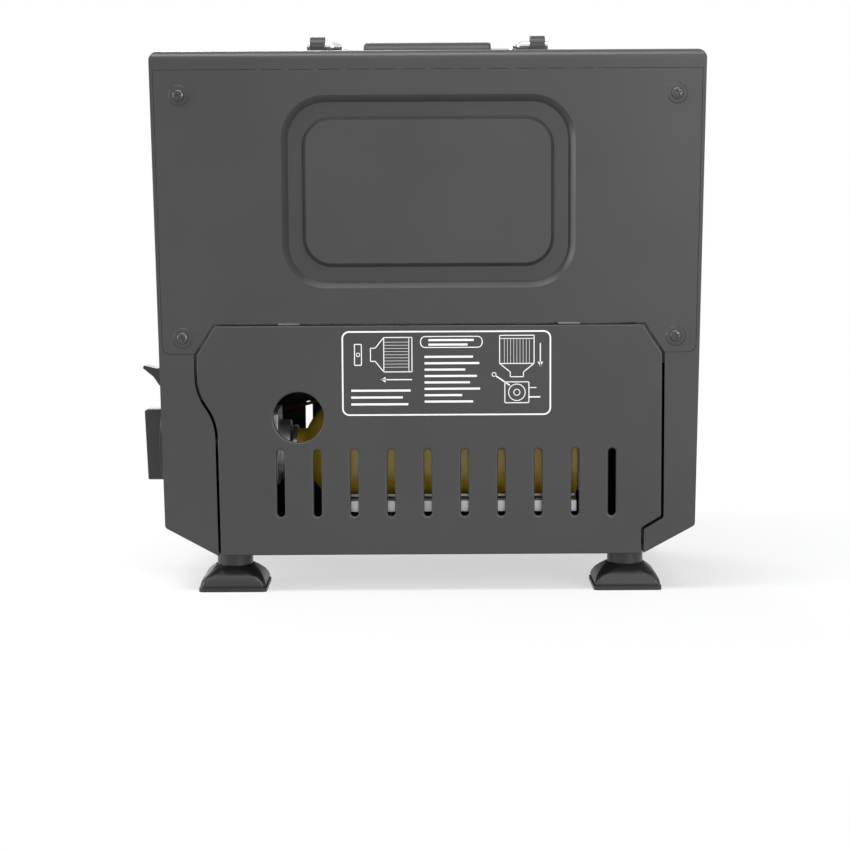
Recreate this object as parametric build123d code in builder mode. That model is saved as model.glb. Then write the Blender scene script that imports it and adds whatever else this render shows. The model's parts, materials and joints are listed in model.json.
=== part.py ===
from build123d import *
import math
import os

# A portable heater that burns gas from a cartridge. Sizes are in millimetres.
# The origin is on the floor under the middle of the body. +Z is up, the heater faces -Y,
# and the cartridge door is at the back, on the +Y side. The knob and the lever are on the +X side.

# Body
body_depth = 190.0
body_bottom = 23.6
body_top = 346.0
bottom_half_width = 135.6
side_half_width = 170.7
chamfer_top = 42.7
side_lean = 0.98
sheet = 1.0
edge_round = 3.0
lid_height = 12.0
front_pan_depth = 12.0
floor_flange = 16.0

# Rear cover and the strips of the side panels beside it
cover_bottom = 154.5
cover_corner = 5.0
strip_width = 2.2
seam = 0.5
flange_width = 20.0
ring_half_width = 93.3
ring_bottom = 196.3
ring_top = 318.0
ring_corner = 28.0
ring_depth = 4.5
ring_lip = 4.4
channel_width = 11.3
channel_slope = 2.4
boss_radius = 6.5
boss_height = 0.7

# Cartridge door
door_gap = 1.5
door_rim = 8.0
swing_room = 0.5
door_edge_round = 1.0
slot_count = 10
slot_pitch = 23.67
slot_row_x = -10.7
slot_row_z = 71.05
slot_height = 46.7
slot_width = 8.0
slot_opening = 4.9
slot_rim = 3.0
finger_hole_x = 84.0
finger_hole_z = 113.7
finger_hole_radius = 16.15
finger_rim_radius = 17.5

# Door hinge and catches
hinge_x = 114.0
hinge_z = 29.0
hinge_inset = 5.0
hinge_pin_radius = 1.5
hinge_ear = 3.0
hinge_clearance = 0.06
knuckle_length = 8.0
side_clearance = 0.5
catch_x = 90.0
catch_width = 14.0
catch_top = cover_bottom + 35.5
catch_rise = 12.0

# Feet
foot_x = 128.0
foot_y = body_depth / 2 - 24.0
post_radius = 11.65
post_seat = 6.0
shoe_width = 44.0
shoe_height = 15.5
shoe_flange = 2.5
shoe_groove = 1.4

# Fasteners
screw_head_radius = 3.75
screw_head_height = 1.9
screw_radius = 1.7
screw_length = 8.0
screw_clearance = 0.4
cover_screw_x = side_half_width - 13.4
cover_screw_low = 165.0
cover_screw_high = 318.0
lid_screw_y = 60.0

# Cartridge
cartridge_y = 49.0
cartridge_z = 88.0
cartridge_base_x = -96.0
can_radius = 33.0
seam_radius = 34.5
seam_length = 3.0
can_length = 162.0
dome_length = 15.0
neck_radius = 14.0
neck_length = 6.0
collar_radius = 16.2
collar_thickness = 3.0
stem_radius = 2.0
stem_length = 3.5
can_wall = 1.2
lock_travel = 4.86

# Cradle and lock yoke
cradle_clearance = 0.7
cradle_sheet = 1.2
cradle_length = 150.0
cradle_centre_x = -20.0
cradle_lip_y = body_depth / 2 - 11.0
cradle_lip_z = 58.0
yoke_strip = 14.0
yoke_sheet = 2.0
yoke_z = 131.0
yoke_gap = 3.5
yoke_slot_length = 7.5
yoke_slot_drop = 0.5

# Lock lever
lever_x = 150.0
lever_z = 128.0
lever_y = 45.0
lever_thickness = 6.0
lever_pin_radius = 2.5
lever_hub_radius = 5.2
lever_drive_radius = 11.5
drive_pin_radius = 2.0
drive_clearance = 0.2
lever_slot_width = 18.0
lever_slot_low = 113.0
lever_slot_high = 147.5
tab_width = 16.0

# Regulator and control
regulator_x = 99.0
regulator_length = 36.0
regulator_front = 28.0
regulator_back = 70.0
regulator_low = 66.0
regulator_high = 116.0
inlet_length = 7.5
inlet_radius = 20.0
inlet_recess = 5.0
inlet_clearance = 0.6
stem_clearance = 0.6
ring_seal_radius = 5.1
ring_seal_height = 1.4
cap_radius = 20.0
cap_height = 9.0
knob_y = 35.0
knob_z = 91.0
shaft_radius = 4.0
shaft_clearance = 0.05
shaft_end = 118.5
shaft_hole_radius = 7.0
needle_radius = 2.0
needle_length = 11.0
needle_x = 104.0
knob_radius = 24.5
knob_face = side_half_width + 19.1
knob_gap = 1.2
knob_skirt = 5.0
knob_bar = 15.0
knob_face_lean = 1.7
cam_x = 158.5
cam_radius = 24.0
cam_thickness = 2.0
cam_lobe = 2.5
plunger_y = 20.0
plunger_z = 78.0
plunger_radius = 2.5

# Burner
burner_z = 232.0
plaque_width = 92.0
plaque_height = 66.0
plaque_thickness = 13.0
plaque_front = -48.0
plaque_gap = 0.8
gasket = 2.0
frame_wall = 1.2
frame_lip = 3.0
plenum_depth = 35.0
opening_width = 262.0
opening_height = 152.0
opening_corner = 14.0
opening_return = 10.0
reflector_sheet = 0.8
venturi_y = -17.0
venturi_radius = 9.0
venturi_bore = 6.0
bell_radius = 13.0
injector_end = 146.0
shield_z = 146.0
shield_y = 70.0
shield_hole_radius = 8.5
guard_y = -86.5
guard_rod = 1.5
guard_wire = 1.1
guard_post = 0.9
guard_post_x = 70.0
guard_gap = 0.02
guard_count = 9
pipe_radius = 2.5
lead_radius = 1.1

# Carry handle
handle_y = 20.0
handle_reach = 55.0
handle_half = 60.0
handle_rise = 8.0
handle_rod = 3.0
handle_bend = 6.0
grip_radius = 7.0
grip_half = 44.0
handle_bracket = 10.0
handle_clearance = 0.06

# Tip-over switch
switch_x = -60.0
switch_y = -40.0
switch_width = 30.0
switch_depth = 26.0
switch_height = 36.0
switch_wall = 2.0
bob_radius = 6.5

# Places worked out from the sizes above
back = body_depth / 2
front = -body_depth / 2
lean = math.tan(math.radians(side_lean))
side_top = body_top - lid_height
side_front = front + front_pan_depth
hinge_y = back - hinge_inset
floor_back = back - 13.0
door_skin = back - sheet
ring_floor = back - ring_depth
bore_end = shaft_end - 0.5


def half_width(z):
    """Half width of the body at height z on its leaning sides."""
    return side_half_width + lean * (z - chamfer_top)


def moved_in(points, amount):
    """A counter-clockwise closed outline with every side moved inwards by amount."""
    count = len(points)
    result = []
    for i in range(count):
        ax, az = points[i - 1]
        bx, bz = points[i]
        cx, cz = points[(i + 1) % count]
        la = math.hypot(bx - ax, bz - az)
        lb = math.hypot(cx - bx, cz - bz)
        na = ((bz - az) / la, (ax - bx) / la)
        nb = ((cz - bz) / lb, (bx - cx) / lb)
        scale = amount / (1 + na[0] * nb[0] + na[1] * nb[1])
        result.append((bx - scale * (na[0] + nb[0]), bz - scale * (na[1] + nb[1])))
    return result


def body_points(top):
    """Outline of the body seen from the front, up to the height top."""
    return [
        (-bottom_half_width, body_bottom),
        (bottom_half_width, body_bottom),
        (side_half_width, chamfer_top),
        (half_width(top), top),
        (-half_width(top), top),
        (-side_half_width, chamfer_top),
    ]


# Centre line of the gap round the door. One side has a slanted step that clears the regulator.
door_points = [
    (-137.1, body_bottom),
    (135.8, body_bottom),
    (136.9, 110.6),
    (149.5, 130.2),
    (149.5, 154.2),
    (137.2, 173.2),
    (-137.2, 173.2),
    (-149.8, 154.2),
    (-149.8, 48.3),
    (-137.1, 40.7),
]
door_rounds = [0.5, 0.5, 34, 34, 2, 2, 2, 2, 2, 2]


def outline_face(points, rounds):
    """The flat face inside a closed outline whose corners have the given radii."""
    with BuildSketch() as face:
        with BuildLine():
            FilletPolyline(*points, radius=rounds, close=True)
        make_face()
    return face.sketch


def door_outline(amount):
    """The door's outline moved in from the middle of its gap by amount."""
    return outline_face(moved_in(door_points, amount), door_rounds)


def body_outline(amount, top):
    """The body's outline moved in by amount, up to the height top."""
    corner = edge_round - amount
    return outline_face(moved_in(body_points(top), amount), [corner, corner, corner, 0, 0, corner])


def cover_points(amount):
    """Outline of the rear cover, moved in by amount from the edge of its place."""
    low = half_width(cover_bottom) - strip_width
    high = half_width(side_top) - strip_width
    return moved_in(
        [(-low, cover_bottom), (low, cover_bottom), (high, side_top), (-high, side_top)], amount
    )


def cover_outline(amount):
    """The rear cover's outline, moved in by amount from the edge of its place."""
    return outline_face(cover_points(amount), [cover_corner, cover_corner, 0, 0])


def at_y(y):
    """The upright plane across the body at y. Its extrusions run towards the front."""
    return Plane.XZ.offset(-y)


# Base plate: it lies on the inner flanges of the side panels
with BuildPart() as base_plate:
    with BuildSketch(Plane.XY.offset(body_bottom + sheet)):
        with Locations((0, (side_front + floor_back) / 2)):
            Rectangle(2 * (bottom_half_width - 3), floor_back - side_front)
        with GridLocations(52, 26, 4, 2):
            SlotOverall(32, 5, mode=Mode.SUBTRACT)
    extrude(amount=sheet)
base_plate.part.label = "base_plate"


def side_panel(hand):
    """One side wall with its chamfer, floor flange, rear return and the recessed flange of the cover."""
    band = side_half_width - bottom_half_width
    with BuildPart() as panel:
        # The wall is a thin band along the outline
        with BuildSketch(at_y(back)):
            add(body_outline(0, side_top))
            add(body_outline(sheet, side_top + 2 * sheet), mode=Mode.SUBTRACT)
            with Locations((hand * side_half_width, (body_bottom + side_top) / 2)):
                Rectangle(2 * (band + floor_flange), side_top, mode=Mode.INTERSECT)
        extrude(amount=back - side_front)
        # The floor flange stops short of the door's swing
        with BuildSketch(Plane.XY.offset(body_bottom)):
            with Locations((hand * (bottom_half_width - floor_flange / 2), (floor_back + back) / 2)):
                Rectangle(floor_flange, back - floor_back)
        extrude(amount=sheet, mode=Mode.SUBTRACT)
        # Rear return beside the door, and the narrow strip beside the cover
        with BuildSketch(at_y(back)):
            add(body_outline(0, side_top))
            add(cover_outline(0), mode=Mode.SUBTRACT)
            add(door_outline(-door_gap / 2), mode=Mode.SUBTRACT)
            with Locations((hand * side_half_width, side_top / 2)):
                Rectangle(2 * (band + 2), side_top, mode=Mode.INTERSECT)
        extrude(amount=sheet)
        # Recessed flange that the cover is screwed to
        with BuildSketch(at_y(back - sheet)):
            add(body_outline(0, side_top))
            with Locations((hand * half_width(side_top), (cover_bottom + side_top) / 2)):
                Rectangle(
                    2 * (flange_width + strip_width), side_top - cover_bottom + 8, mode=Mode.INTERSECT
                )
            with Locations(*[(hand * cover_screw_x, z) for z in (cover_screw_low, cover_screw_high)]):
                Circle(screw_radius + shaft_clearance, mode=Mode.SUBTRACT)
        extrude(amount=sheet)
        with BuildSketch(at_y(back)):
            add(door_outline(-door_gap / 2))
        extrude(amount=door_rim + door_gap + swing_room, mode=Mode.SUBTRACT)
        if hand > 0:
            with BuildSketch(Plane.YZ.offset(bottom_half_width)):
                with Locations((knob_y, knob_z)):
                    Circle(shaft_hole_radius)
                with Locations((lever_y, (lever_slot_low + lever_slot_high) / 2)):
                    RectangleRounded(lever_slot_width, lever_slot_high - lever_slot_low, 2)
            extrude(amount=2 * band, mode=Mode.SUBTRACT)
    return panel.part


side_panel_right = side_panel(1)
side_panel_right.label = "side_panel_right"
side_panel_left = side_panel(-1)
side_panel_left.label = "side_panel_left"

# Rear cover: flat sheet with a pressed channel round a raised panel, and raised screw bosses
ring_centre_z = (ring_bottom + ring_top) / 2
ring_height = ring_top - ring_bottom
with BuildPart() as rear_cover:
    with BuildSketch(at_y(back)):
        add(cover_outline(seam / 2))
    extrude(amount=sheet)
    with BuildSketch(at_y(back - sheet)):
        with Locations((0, ring_centre_z)):
            RectangleRounded(2 * ring_half_width, ring_height, ring_corner)
    extrude(amount=ring_depth)
    with BuildSketch(at_y(back)):
        with Locations((0, ring_centre_z)):
            RectangleRounded(2 * ring_half_width, ring_height, ring_corner)
    extrude(amount=ring_depth, taper=math.degrees(math.atan(ring_lip / ring_depth)), mode=Mode.SUBTRACT)
    # The raised panel inside the channel
    inner_drop = ring_lip + channel_width - channel_slope
    with BuildSketch(at_y(ring_floor)):
        with Locations((0, ring_centre_z)):
            RectangleRounded(
                2 * (ring_half_width - inner_drop),
                ring_height - 2 * inner_drop,
                ring_corner - inner_drop + 4,
            )
    extrude(amount=-ring_depth, taper=math.degrees(math.atan(channel_slope / ring_depth)))
    # The sheet is hollow behind the raised panel
    with BuildSketch(at_y(ring_floor - sheet)):
        with Locations((0, ring_centre_z)):
            RectangleRounded(
                2 * (ring_half_width - inner_drop - 2 * sheet),
                ring_height - 2 * (inner_drop + 2 * sheet),
                ring_corner - inner_drop + 2,
            )
    wall_taper = math.degrees(math.atan(channel_slope / ring_depth))
    extrude(amount=-ring_depth, taper=wall_taper, mode=Mode.SUBTRACT)
    with BuildSketch(at_y(back)):
        add(door_outline(-door_gap / 2))
    extrude(amount=sheet, mode=Mode.SUBTRACT)
    cover_screws_at = [
        (x, z)
        for x in (-cover_screw_x, cover_screw_x)
        for z in (cover_screw_low, cover_screw_high)
    ]
    with BuildSketch(at_y(back)):
        with Locations(*cover_screws_at):
            Circle(boss_radius)
    extrude(amount=-boss_height, taper=40)
    with BuildSketch(at_y(back + boss_height)):
        with Locations(*cover_screws_at):
            Circle(screw_radius + screw_clearance)
    extrude(amount=boss_height + sheet, mode=Mode.SUBTRACT)
rear_cover.part.label = "rear_cover"

# Cartridge door: a shallow pan with slots and a round hole whose edges roll inwards
with BuildPart() as cartridge_door:
    with BuildSketch(at_y(back)):
        add(door_outline(door_gap / 2))
    extrude(amount=door_rim)
    fillet(cartridge_door.faces().sort_by(Axis.Y)[-1].edges(), door_edge_round)
    with BuildSketch(at_y(door_skin)):
        add(door_outline(door_gap / 2 + sheet))
    extrude(amount=door_rim, mode=Mode.SUBTRACT)
    with BuildSketch(at_y(door_skin)):
        with Locations((slot_row_x, slot_row_z)):
            with GridLocations(slot_pitch, 0, slot_count, 1):
                SlotOverall(slot_height + sheet, slot_width + sheet, rotation=90)
        with Locations((finger_hole_x, finger_hole_z)):
            Circle(finger_rim_radius + sheet / 2)
    extrude(amount=slot_rim - sheet)
    with BuildSketch(at_y(back)):
        with Locations((slot_row_x, slot_row_z)):
            with GridLocations(slot_pitch, 0, slot_count, 1):
                SlotOverall(slot_height - slot_width + slot_opening, slot_opening, rotation=90)
        with Locations((finger_hole_x, finger_hole_z)):
            Circle(finger_hole_radius)
    extrude(amount=slot_rim, mode=Mode.SUBTRACT)
    outer_face = cartridge_door.faces().filter_by(Axis.Y).sort_by(Axis.Y)[-1]
    slot_edges = ShapeList(e for w in outer_face.inner_wires() for e in w.edges())
    fillet(slot_edges, min((slot_width - slot_opening) / 2, finger_rim_radius - finger_hole_radius) - 0.05)
    # Knuckles beside the hinge ears, and notches in the rim that let the ears through
    for x in (-hinge_x, hinge_x):
        inner = x + math.copysign(hinge_ear / 2 + side_clearance, x)
        with BuildSketch(Plane.YZ.offset(inner)):
            with Locations(((door_skin + hinge_y - 3) / 2, hinge_z)):
                Rectangle(door_skin - hinge_y + 3, 6)
            with Locations((hinge_y, hinge_z)):
                Circle(hinge_pin_radius + hinge_clearance, mode=Mode.SUBTRACT)
        extrude(amount=math.copysign(knuckle_length, x))
        with BuildSketch(at_y(door_skin)):
            with Locations((x, body_bottom + door_gap)):
                Rectangle(hinge_ear + 2 * side_clearance, 3 * sheet)
        extrude(amount=door_rim, mode=Mode.SUBTRACT)
cartridge_door.part.label = "cartridge_door"

# Hinge brackets on the base plate and the two pins
ear_radius = 3.4
with BuildPart() as door_hinge_brackets:
    for x in (-hinge_x, hinge_x):
        with BuildSketch(Plane.YZ.offset(x - hinge_ear / 2)):
            with BuildLine():
                Polyline(
                    (floor_back - 14, body_bottom + 2 * sheet),
                    (floor_back, body_bottom + 2 * sheet),
                    (floor_back, hinge_z - 1.5),
                    (hinge_y, hinge_z - 1.5),
                    (hinge_y, hinge_z + ear_radius),
                    (floor_back - 8, hinge_z + ear_radius),
                    close=True,
                )
            make_face()
            with Locations((hinge_y, hinge_z)):
                Circle(ear_radius)
                Circle(hinge_pin_radius, mode=Mode.SUBTRACT)
        extrude(amount=hinge_ear)
        with BuildSketch(Plane.XY.offset(body_bottom + 2 * sheet)):
            with Locations((x - math.copysign(7, x), floor_back - 8)):
                Rectangle(14 + hinge_ear, 12)
        extrude(amount=2 * sheet)
door_hinge_brackets.part.label = "door_hinge_brackets"

with BuildPart() as door_hinge_pins:
    for x in (-hinge_x, hinge_x):
        with BuildSketch(Plane.YZ.offset(x - math.copysign(hinge_ear / 2 + 1, x))):
            with Locations((hinge_y, hinge_z)):
                Circle(hinge_pin_radius)
        extrude(amount=math.copysign(hinge_ear + knuckle_length + 2.5, x))
door_hinge_pins.part.label = "door_hinge_pins"

# Door catches: two bent springs on the back of the cover
with BuildPart() as door_catches:
    for x in (-catch_x, catch_x):
        with BuildSketch(Plane.YZ.offset(x - catch_width / 2)):
            with BuildLine():
                Polyline(
                    (back - sheet, catch_top - catch_rise - sheet),
                    (back - sheet, catch_top),
                    (back - 2 * sheet, catch_top),
                    (back - 2 * sheet, catch_top - catch_rise),
                    (back - door_rim - 3, catch_top - catch_rise),
                    (back - door_rim - 3, catch_top - 2 * catch_rise),
                    (back - door_rim - 2, catch_top - 2 * catch_rise),
                    (back - door_rim - 2, catch_top - catch_rise - sheet),
                    close=True,
                )
            make_face()
        extrude(amount=catch_width)
door_catches.part.label = "door_catches"

# Front panel: a pan with the burner opening and a fold round it
with BuildPart() as front_panel:
    with BuildSketch(at_y(front + front_pan_depth)):
        add(body_outline(0, side_top))
    extrude(amount=front_pan_depth)
    fillet(front_panel.faces().sort_by(Axis.Y)[0].edges().group_by(Axis.Z)[:-1], 3.0)
    with BuildSketch(at_y(front + front_pan_depth)):
        add(body_outline(sheet, side_top + 2 * sheet))
    extrude(amount=front_pan_depth - sheet, mode=Mode.SUBTRACT)
    with BuildSketch(at_y(front + opening_return)):
        with Locations((0, burner_z)):
            RectangleRounded(opening_width + 2 * sheet, opening_height + 2 * sheet, opening_corner + sheet)
    extrude(amount=opening_return - sheet)
    with BuildSketch(at_y(front + opening_return)):
        with Locations((0, burner_z)):
            RectangleRounded(opening_width, opening_height, opening_corner)
    extrude(amount=opening_return, mode=Mode.SUBTRACT)
    with BuildSketch(at_y(front + sheet)):
        with Locations((0, 84)):
            with GridLocations(22, 0, 9, 1):
                SlotOverall(46, 5, rotation=90)
    extrude(amount=sheet, mode=Mode.SUBTRACT)
front_panel.part.label = "front_panel"

# Lid with heat slots
with BuildPart() as lid:
    with BuildSketch(at_y(back)):
        with BuildLine():
            Polyline(
                (-half_width(side_top), side_top),
                (half_width(side_top), side_top),
                (half_width(body_top), body_top),
                (-half_width(body_top), body_top),
                close=True,
            )
        make_face()
    extrude(amount=body_depth)
    fillet(lid.edges().group_by(Axis.Z)[-1], 6.0)
    with BuildSketch(Plane.XY.offset(side_top)):
        Rectangle(2 * half_width(side_top) - 4 * sheet, body_depth - 4 * sheet)
    extrude(amount=lid_height - 2 * sheet, mode=Mode.SUBTRACT)
    with BuildSketch(Plane.XY.offset(body_top)):
        with Locations((0, -58)):
            with GridLocations(20, 0, 13, 1):
                SlotOverall(34, 6, rotation=90)
    extrude(amount=-2 * sheet, mode=Mode.SUBTRACT)
    with BuildSketch(Plane.YZ):
        with Locations((lid_screw_y, side_top + 4), (-lid_screw_y, side_top + 4)):
            Circle(screw_radius + screw_clearance)
    extrude(amount=200, both=True, mode=Mode.SUBTRACT)
lid.part.label = "lid"

# Lid corner clips: each joins the lid's skirt to a side panel, and takes a screw
with BuildPart() as lid_clips:
    for hand in (-1, 1):
        inside = half_width(side_top) - 2 * sheet
        with BuildSketch(Plane.XZ.offset(-lid_screw_y - 8)):
            with Locations((hand * (inside - 1.45), side_top - 2)):
                Rectangle(2, 22)
        extrude(amount=16)
        with BuildSketch(Plane.XZ.offset(lid_screw_y - 8)):
            with Locations((hand * (inside - 1.45), side_top - 2)):
                Rectangle(2, 22)
        extrude(amount=16)
    with BuildSketch(Plane.YZ):
        with Locations((lid_screw_y, side_top + 4), (-lid_screw_y, side_top + 4)):
            Circle(screw_radius)
    extrude(amount=200, both=True, mode=Mode.SUBTRACT)
lid_clips.part.label = "lid_clips"


def pan_screw(plane, length):
    """A cross-head screw: its head stands on the plane, and its shank runs below it."""
    with BuildPart() as screw:
        with BuildSketch(plane):
            Circle(screw_head_radius)
        extrude(amount=screw_head_height)
        with BuildSketch(plane):
            Circle(screw_radius)
        extrude(amount=-length)
        with BuildSketch(plane.offset(screw_head_height)):
            Rectangle(4.0, 0.8)
            Rectangle(0.8, 4.0)
        extrude(amount=-1.2, mode=Mode.SUBTRACT)
    return screw.part


side_screw_x = half_width(side_top + 4 + screw_head_radius)
screw_planes = [
    Plane(origin=(x, back + boss_height, z), x_dir=(-1, 0, 0), z_dir=(0, 1, 0))
    for x, z in cover_screws_at
] + [
    Plane(origin=(hand * side_screw_x, y, side_top + 4), x_dir=(0, 1, 0), z_dir=(hand, 0, 0))
    for hand in (-1, 1)
    for y in (-lid_screw_y, lid_screw_y)
]
case_screws = Compound([pan_screw(plane, screw_length).solid() for plane in screw_planes])
case_screws.label = "case_screws"

# Feet: a round post in a square rubber shoe
feet_at = [(x, y) for x in (-foot_x, foot_x) for y in (-foot_y, foot_y)]
with BuildPart() as foot_posts:
    with BuildSketch(Plane.XY.offset(post_seat)):
        with Locations(*feet_at):
            Circle(post_radius)
    extrude(amount=body_bottom - post_seat)
foot_posts.part.label = "foot_posts"


def foot_shoe(x, y):
    """A square shoe: flange, groove, then a dome that narrows to the post."""
    with BuildPart() as shoe:
        with BuildSketch(Plane((x, y, 0))):
            RectangleRounded(shoe_width, shoe_width, 3.0)
        extrude(amount=shoe_flange)
        with BuildSketch(Plane((x, y, shoe_flange))):
            RectangleRounded(shoe_width - 2 * shoe_groove, shoe_width - 2 * shoe_groove, 3.0)
        extrude(amount=1.6)
        step = (shoe_height - shoe_flange - 1.6) / 4
        width = shoe_width - shoe_groove
        low = shoe_flange + 1.6
        for rise, side, corner in (
            (0, width, 3.0),
            (0.9 * step, width * 0.965, 4.0),
            (2.0 * step, width * 0.88, 6.0),
            (3.1 * step, width * 0.74, 9.0),
            (4.0 * step, width * 0.59, 11.0),
        ):
            with BuildSketch(Plane((x, y, low + rise))):
                RectangleRounded(side, side, corner)
        loft(ruled=True)
        with BuildSketch(Plane((x, y, post_seat))):
            Circle(post_radius + shaft_clearance)
        extrude(amount=shoe_height, mode=Mode.SUBTRACT)
    return shoe.part


# Cartridge: can with rolled seams, collar and valve stem
can_end = cartridge_base_x + can_length
dome_end = can_end + dome_length
collar_x = dome_end + neck_length
cartridge_axis = Axis((0, cartridge_y, cartridge_z), (1, 0, 0))
cartridge_plane = Plane(origin=(0, cartridge_y, cartridge_z), x_dir=(1, 0, 0), z_dir=(0, -1, 0))
with BuildPart() as cartridge_can:
    with BuildSketch(cartridge_plane):
        with BuildLine():
            Polyline(
                (cartridge_base_x + 2, 0),
                (cartridge_base_x + 2, can_radius - 1.5),
                (cartridge_base_x, can_radius - 1.5),
                (cartridge_base_x, seam_radius),
                (cartridge_base_x + seam_length, seam_radius),
                (cartridge_base_x + seam_length, can_radius),
                (can_end - seam_length, can_radius),
                (can_end - seam_length, seam_radius),
                (can_end, seam_radius),
                (can_end, can_radius - 1.5),
            )
            ThreePointArc(
                (can_end, can_radius - 1.5),
                (can_end + 0.62 * dome_length, neck_radius + 0.52 * (can_radius - 1.5 - neck_radius)),
                (dome_end, neck_radius),
            )
            Polyline((dome_end, neck_radius), (collar_x, neck_radius), (collar_x, 0))
            Polyline((collar_x, 0), (cartridge_base_x + 2, 0))
        make_face()
    revolve(axis=cartridge_axis)
    # The empty can, open only at its valve
    with BuildSketch(cartridge_plane):
        with BuildLine():
            Polyline(
                (cartridge_base_x + 2 + can_wall, 0),
                (cartridge_base_x + 2 + can_wall, can_radius - can_wall),
                (can_end - can_wall, can_radius - can_wall),
                (dome_end, neck_radius - can_wall),
                (collar_x - can_wall, neck_radius - can_wall),
                (collar_x - can_wall, stem_radius),
                (collar_x, stem_radius),
                (collar_x, 0),
                close=True,
            )
        make_face()
    revolve(axis=cartridge_axis, mode=Mode.SUBTRACT)
cartridge_can.part.label = "cartridge_can"

with BuildPart() as cartridge_collar:
    with BuildSketch(Plane.YZ.offset(collar_x)):
        with Locations((cartridge_y, cartridge_z)):
            Circle(collar_radius)
            Circle(stem_radius, mode=Mode.SUBTRACT)
            with Locations((0, collar_radius)):
                Rectangle(5, 5, mode=Mode.SUBTRACT)
    extrude(amount=collar_thickness)
cartridge_collar.part.label = "cartridge_collar"

with BuildPart() as cartridge_stem:
    with BuildSketch(Plane.YZ.offset(collar_x)):
        with Locations((cartridge_y, cartridge_z)):
            Circle(stem_radius)
    extrude(amount=collar_thickness + stem_length)
cartridge_stem.part.label = "cartridge_stem"

# Cartridge cradle: a bent sheet under the can, with a rear lip and two legs
cradle_inner = seam_radius + cradle_clearance
cradle_outer = cradle_inner + cradle_sheet
cradle_low = cradle_centre_x - cradle_length / 2
with BuildPart() as cartridge_cradle:
    with BuildSketch(Plane.YZ.offset(cradle_low)):
        with Locations((cartridge_y, cartridge_z)):
            Circle(cradle_outer)
            Circle(cradle_inner, mode=Mode.SUBTRACT)
        with Locations((cartridge_y - 16, cartridge_z - 45)):
            Rectangle(76, 64, mode=Mode.INTERSECT)
        with BuildLine():
            Polyline(
                (cartridge_y + 16, cartridge_z - cradle_outer + 3.6),
                (cradle_lip_y, cradle_lip_z - cradle_sheet),
                (cradle_lip_y, cradle_lip_z - 7),
                (cradle_lip_y + cradle_sheet, cradle_lip_z - 7),
                (cradle_lip_y + cradle_sheet, cradle_lip_z),
                (cartridge_y + 18, cartridge_z - cradle_inner + 5.0),
                close=True,
            )
        make_face()
    extrude(amount=cradle_length)
    for x in (cradle_low + 16, cradle_low + cradle_length - 30):
        with BuildSketch(Plane.YZ.offset(x)):
            with Locations((cartridge_y, (body_bottom + 2 * sheet + cartridge_z) / 2)):
                Rectangle(36, cartridge_z - body_bottom - 2 * sheet)
            with Locations((cartridge_y, cartridge_z)):
                Circle(cradle_outer - 0.4, mode=Mode.SUBTRACT)
        extrude(amount=1.5)
cartridge_cradle.part.label = "cartridge_cradle"

# Lock yoke: a strip over the can that pushes its base when the lever goes down
yoke_end = cartridge_base_x - yoke_gap
drive_z = lever_z + lever_drive_radius
strip_end = lever_x - lever_hub_radius - lock_travel - yoke_gap
plate_low = lever_z + lever_pin_radius + 2.0
plate_high = drive_z + 6.0
with BuildPart() as lock_yoke:
    with BuildSketch(Plane.XY.offset(yoke_z)):
        with Locations(((yoke_end + strip_end) / 2, lever_y + lever_thickness)):
            Rectangle(strip_end - yoke_end, yoke_strip)
    extrude(amount=-yoke_sheet)
    with BuildSketch(Plane.YZ.offset(yoke_end)):
        with Locations((cartridge_y, (62 + yoke_z) / 2)):
            Rectangle(34, yoke_z - 62)
    extrude(amount=yoke_sheet)
    # The slotted plate passes above the lever's pivot pin
    with BuildSketch(at_y(lever_y + lever_thickness + 5)):
        with BuildLine():
            Polyline(
                (strip_end - 16, yoke_z - yoke_sheet / 2),
                (strip_end - 2, yoke_z - yoke_sheet / 2),
                (strip_end - 2, plate_low),
                (lever_x + 6, plate_low),
                (lever_x + 6, plate_high),
                (strip_end - 16, plate_high),
                close=True,
            )
        make_face()
        with Locations((lever_x, drive_z - yoke_slot_drop)):
            SlotOverall(
                yoke_slot_length, 2 * (drive_pin_radius + drive_clearance), rotation=90, mode=Mode.SUBTRACT
            )
    extrude(amount=yoke_sheet)
lock_yoke.part.label = "lock_yoke"

# Lock lever: hub, drive arm with its pin, and the arm that leaves through the side slot
lever_back = lever_y + lever_thickness / 2
wall_x = half_width(lever_z + 8)
with BuildPart() as lock_lever:
    with BuildSketch(at_y(lever_back)):
        with Locations((lever_x, lever_z)):
            Circle(lever_hub_radius)
        with BuildLine():
            Polyline(
                (lever_x - 3, lever_z),
                (lever_x + 4, lever_z - 3),
                (wall_x + 2, lever_z + 4),
                (wall_x + 2, lever_z + 13),
                (lever_x + 3, lever_z + 5),
                (lever_x + 3, drive_z),
                (lever_x - 3, drive_z),
                close=True,
            )
        make_face()
        with Locations((lever_x, drive_z)):
            Circle(3.6)
        with Locations((lever_x, lever_z)):
            Circle(lever_pin_radius + hinge_clearance, mode=Mode.SUBTRACT)
    extrude(amount=lever_thickness)
    with BuildSketch(at_y(lever_y + lever_thickness + 7)):
        with Locations((lever_x, drive_z)):
            Circle(drive_pin_radius)
    extrude(amount=lever_thickness + 5)
lock_lever.part.label = "lock_lever"

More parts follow.
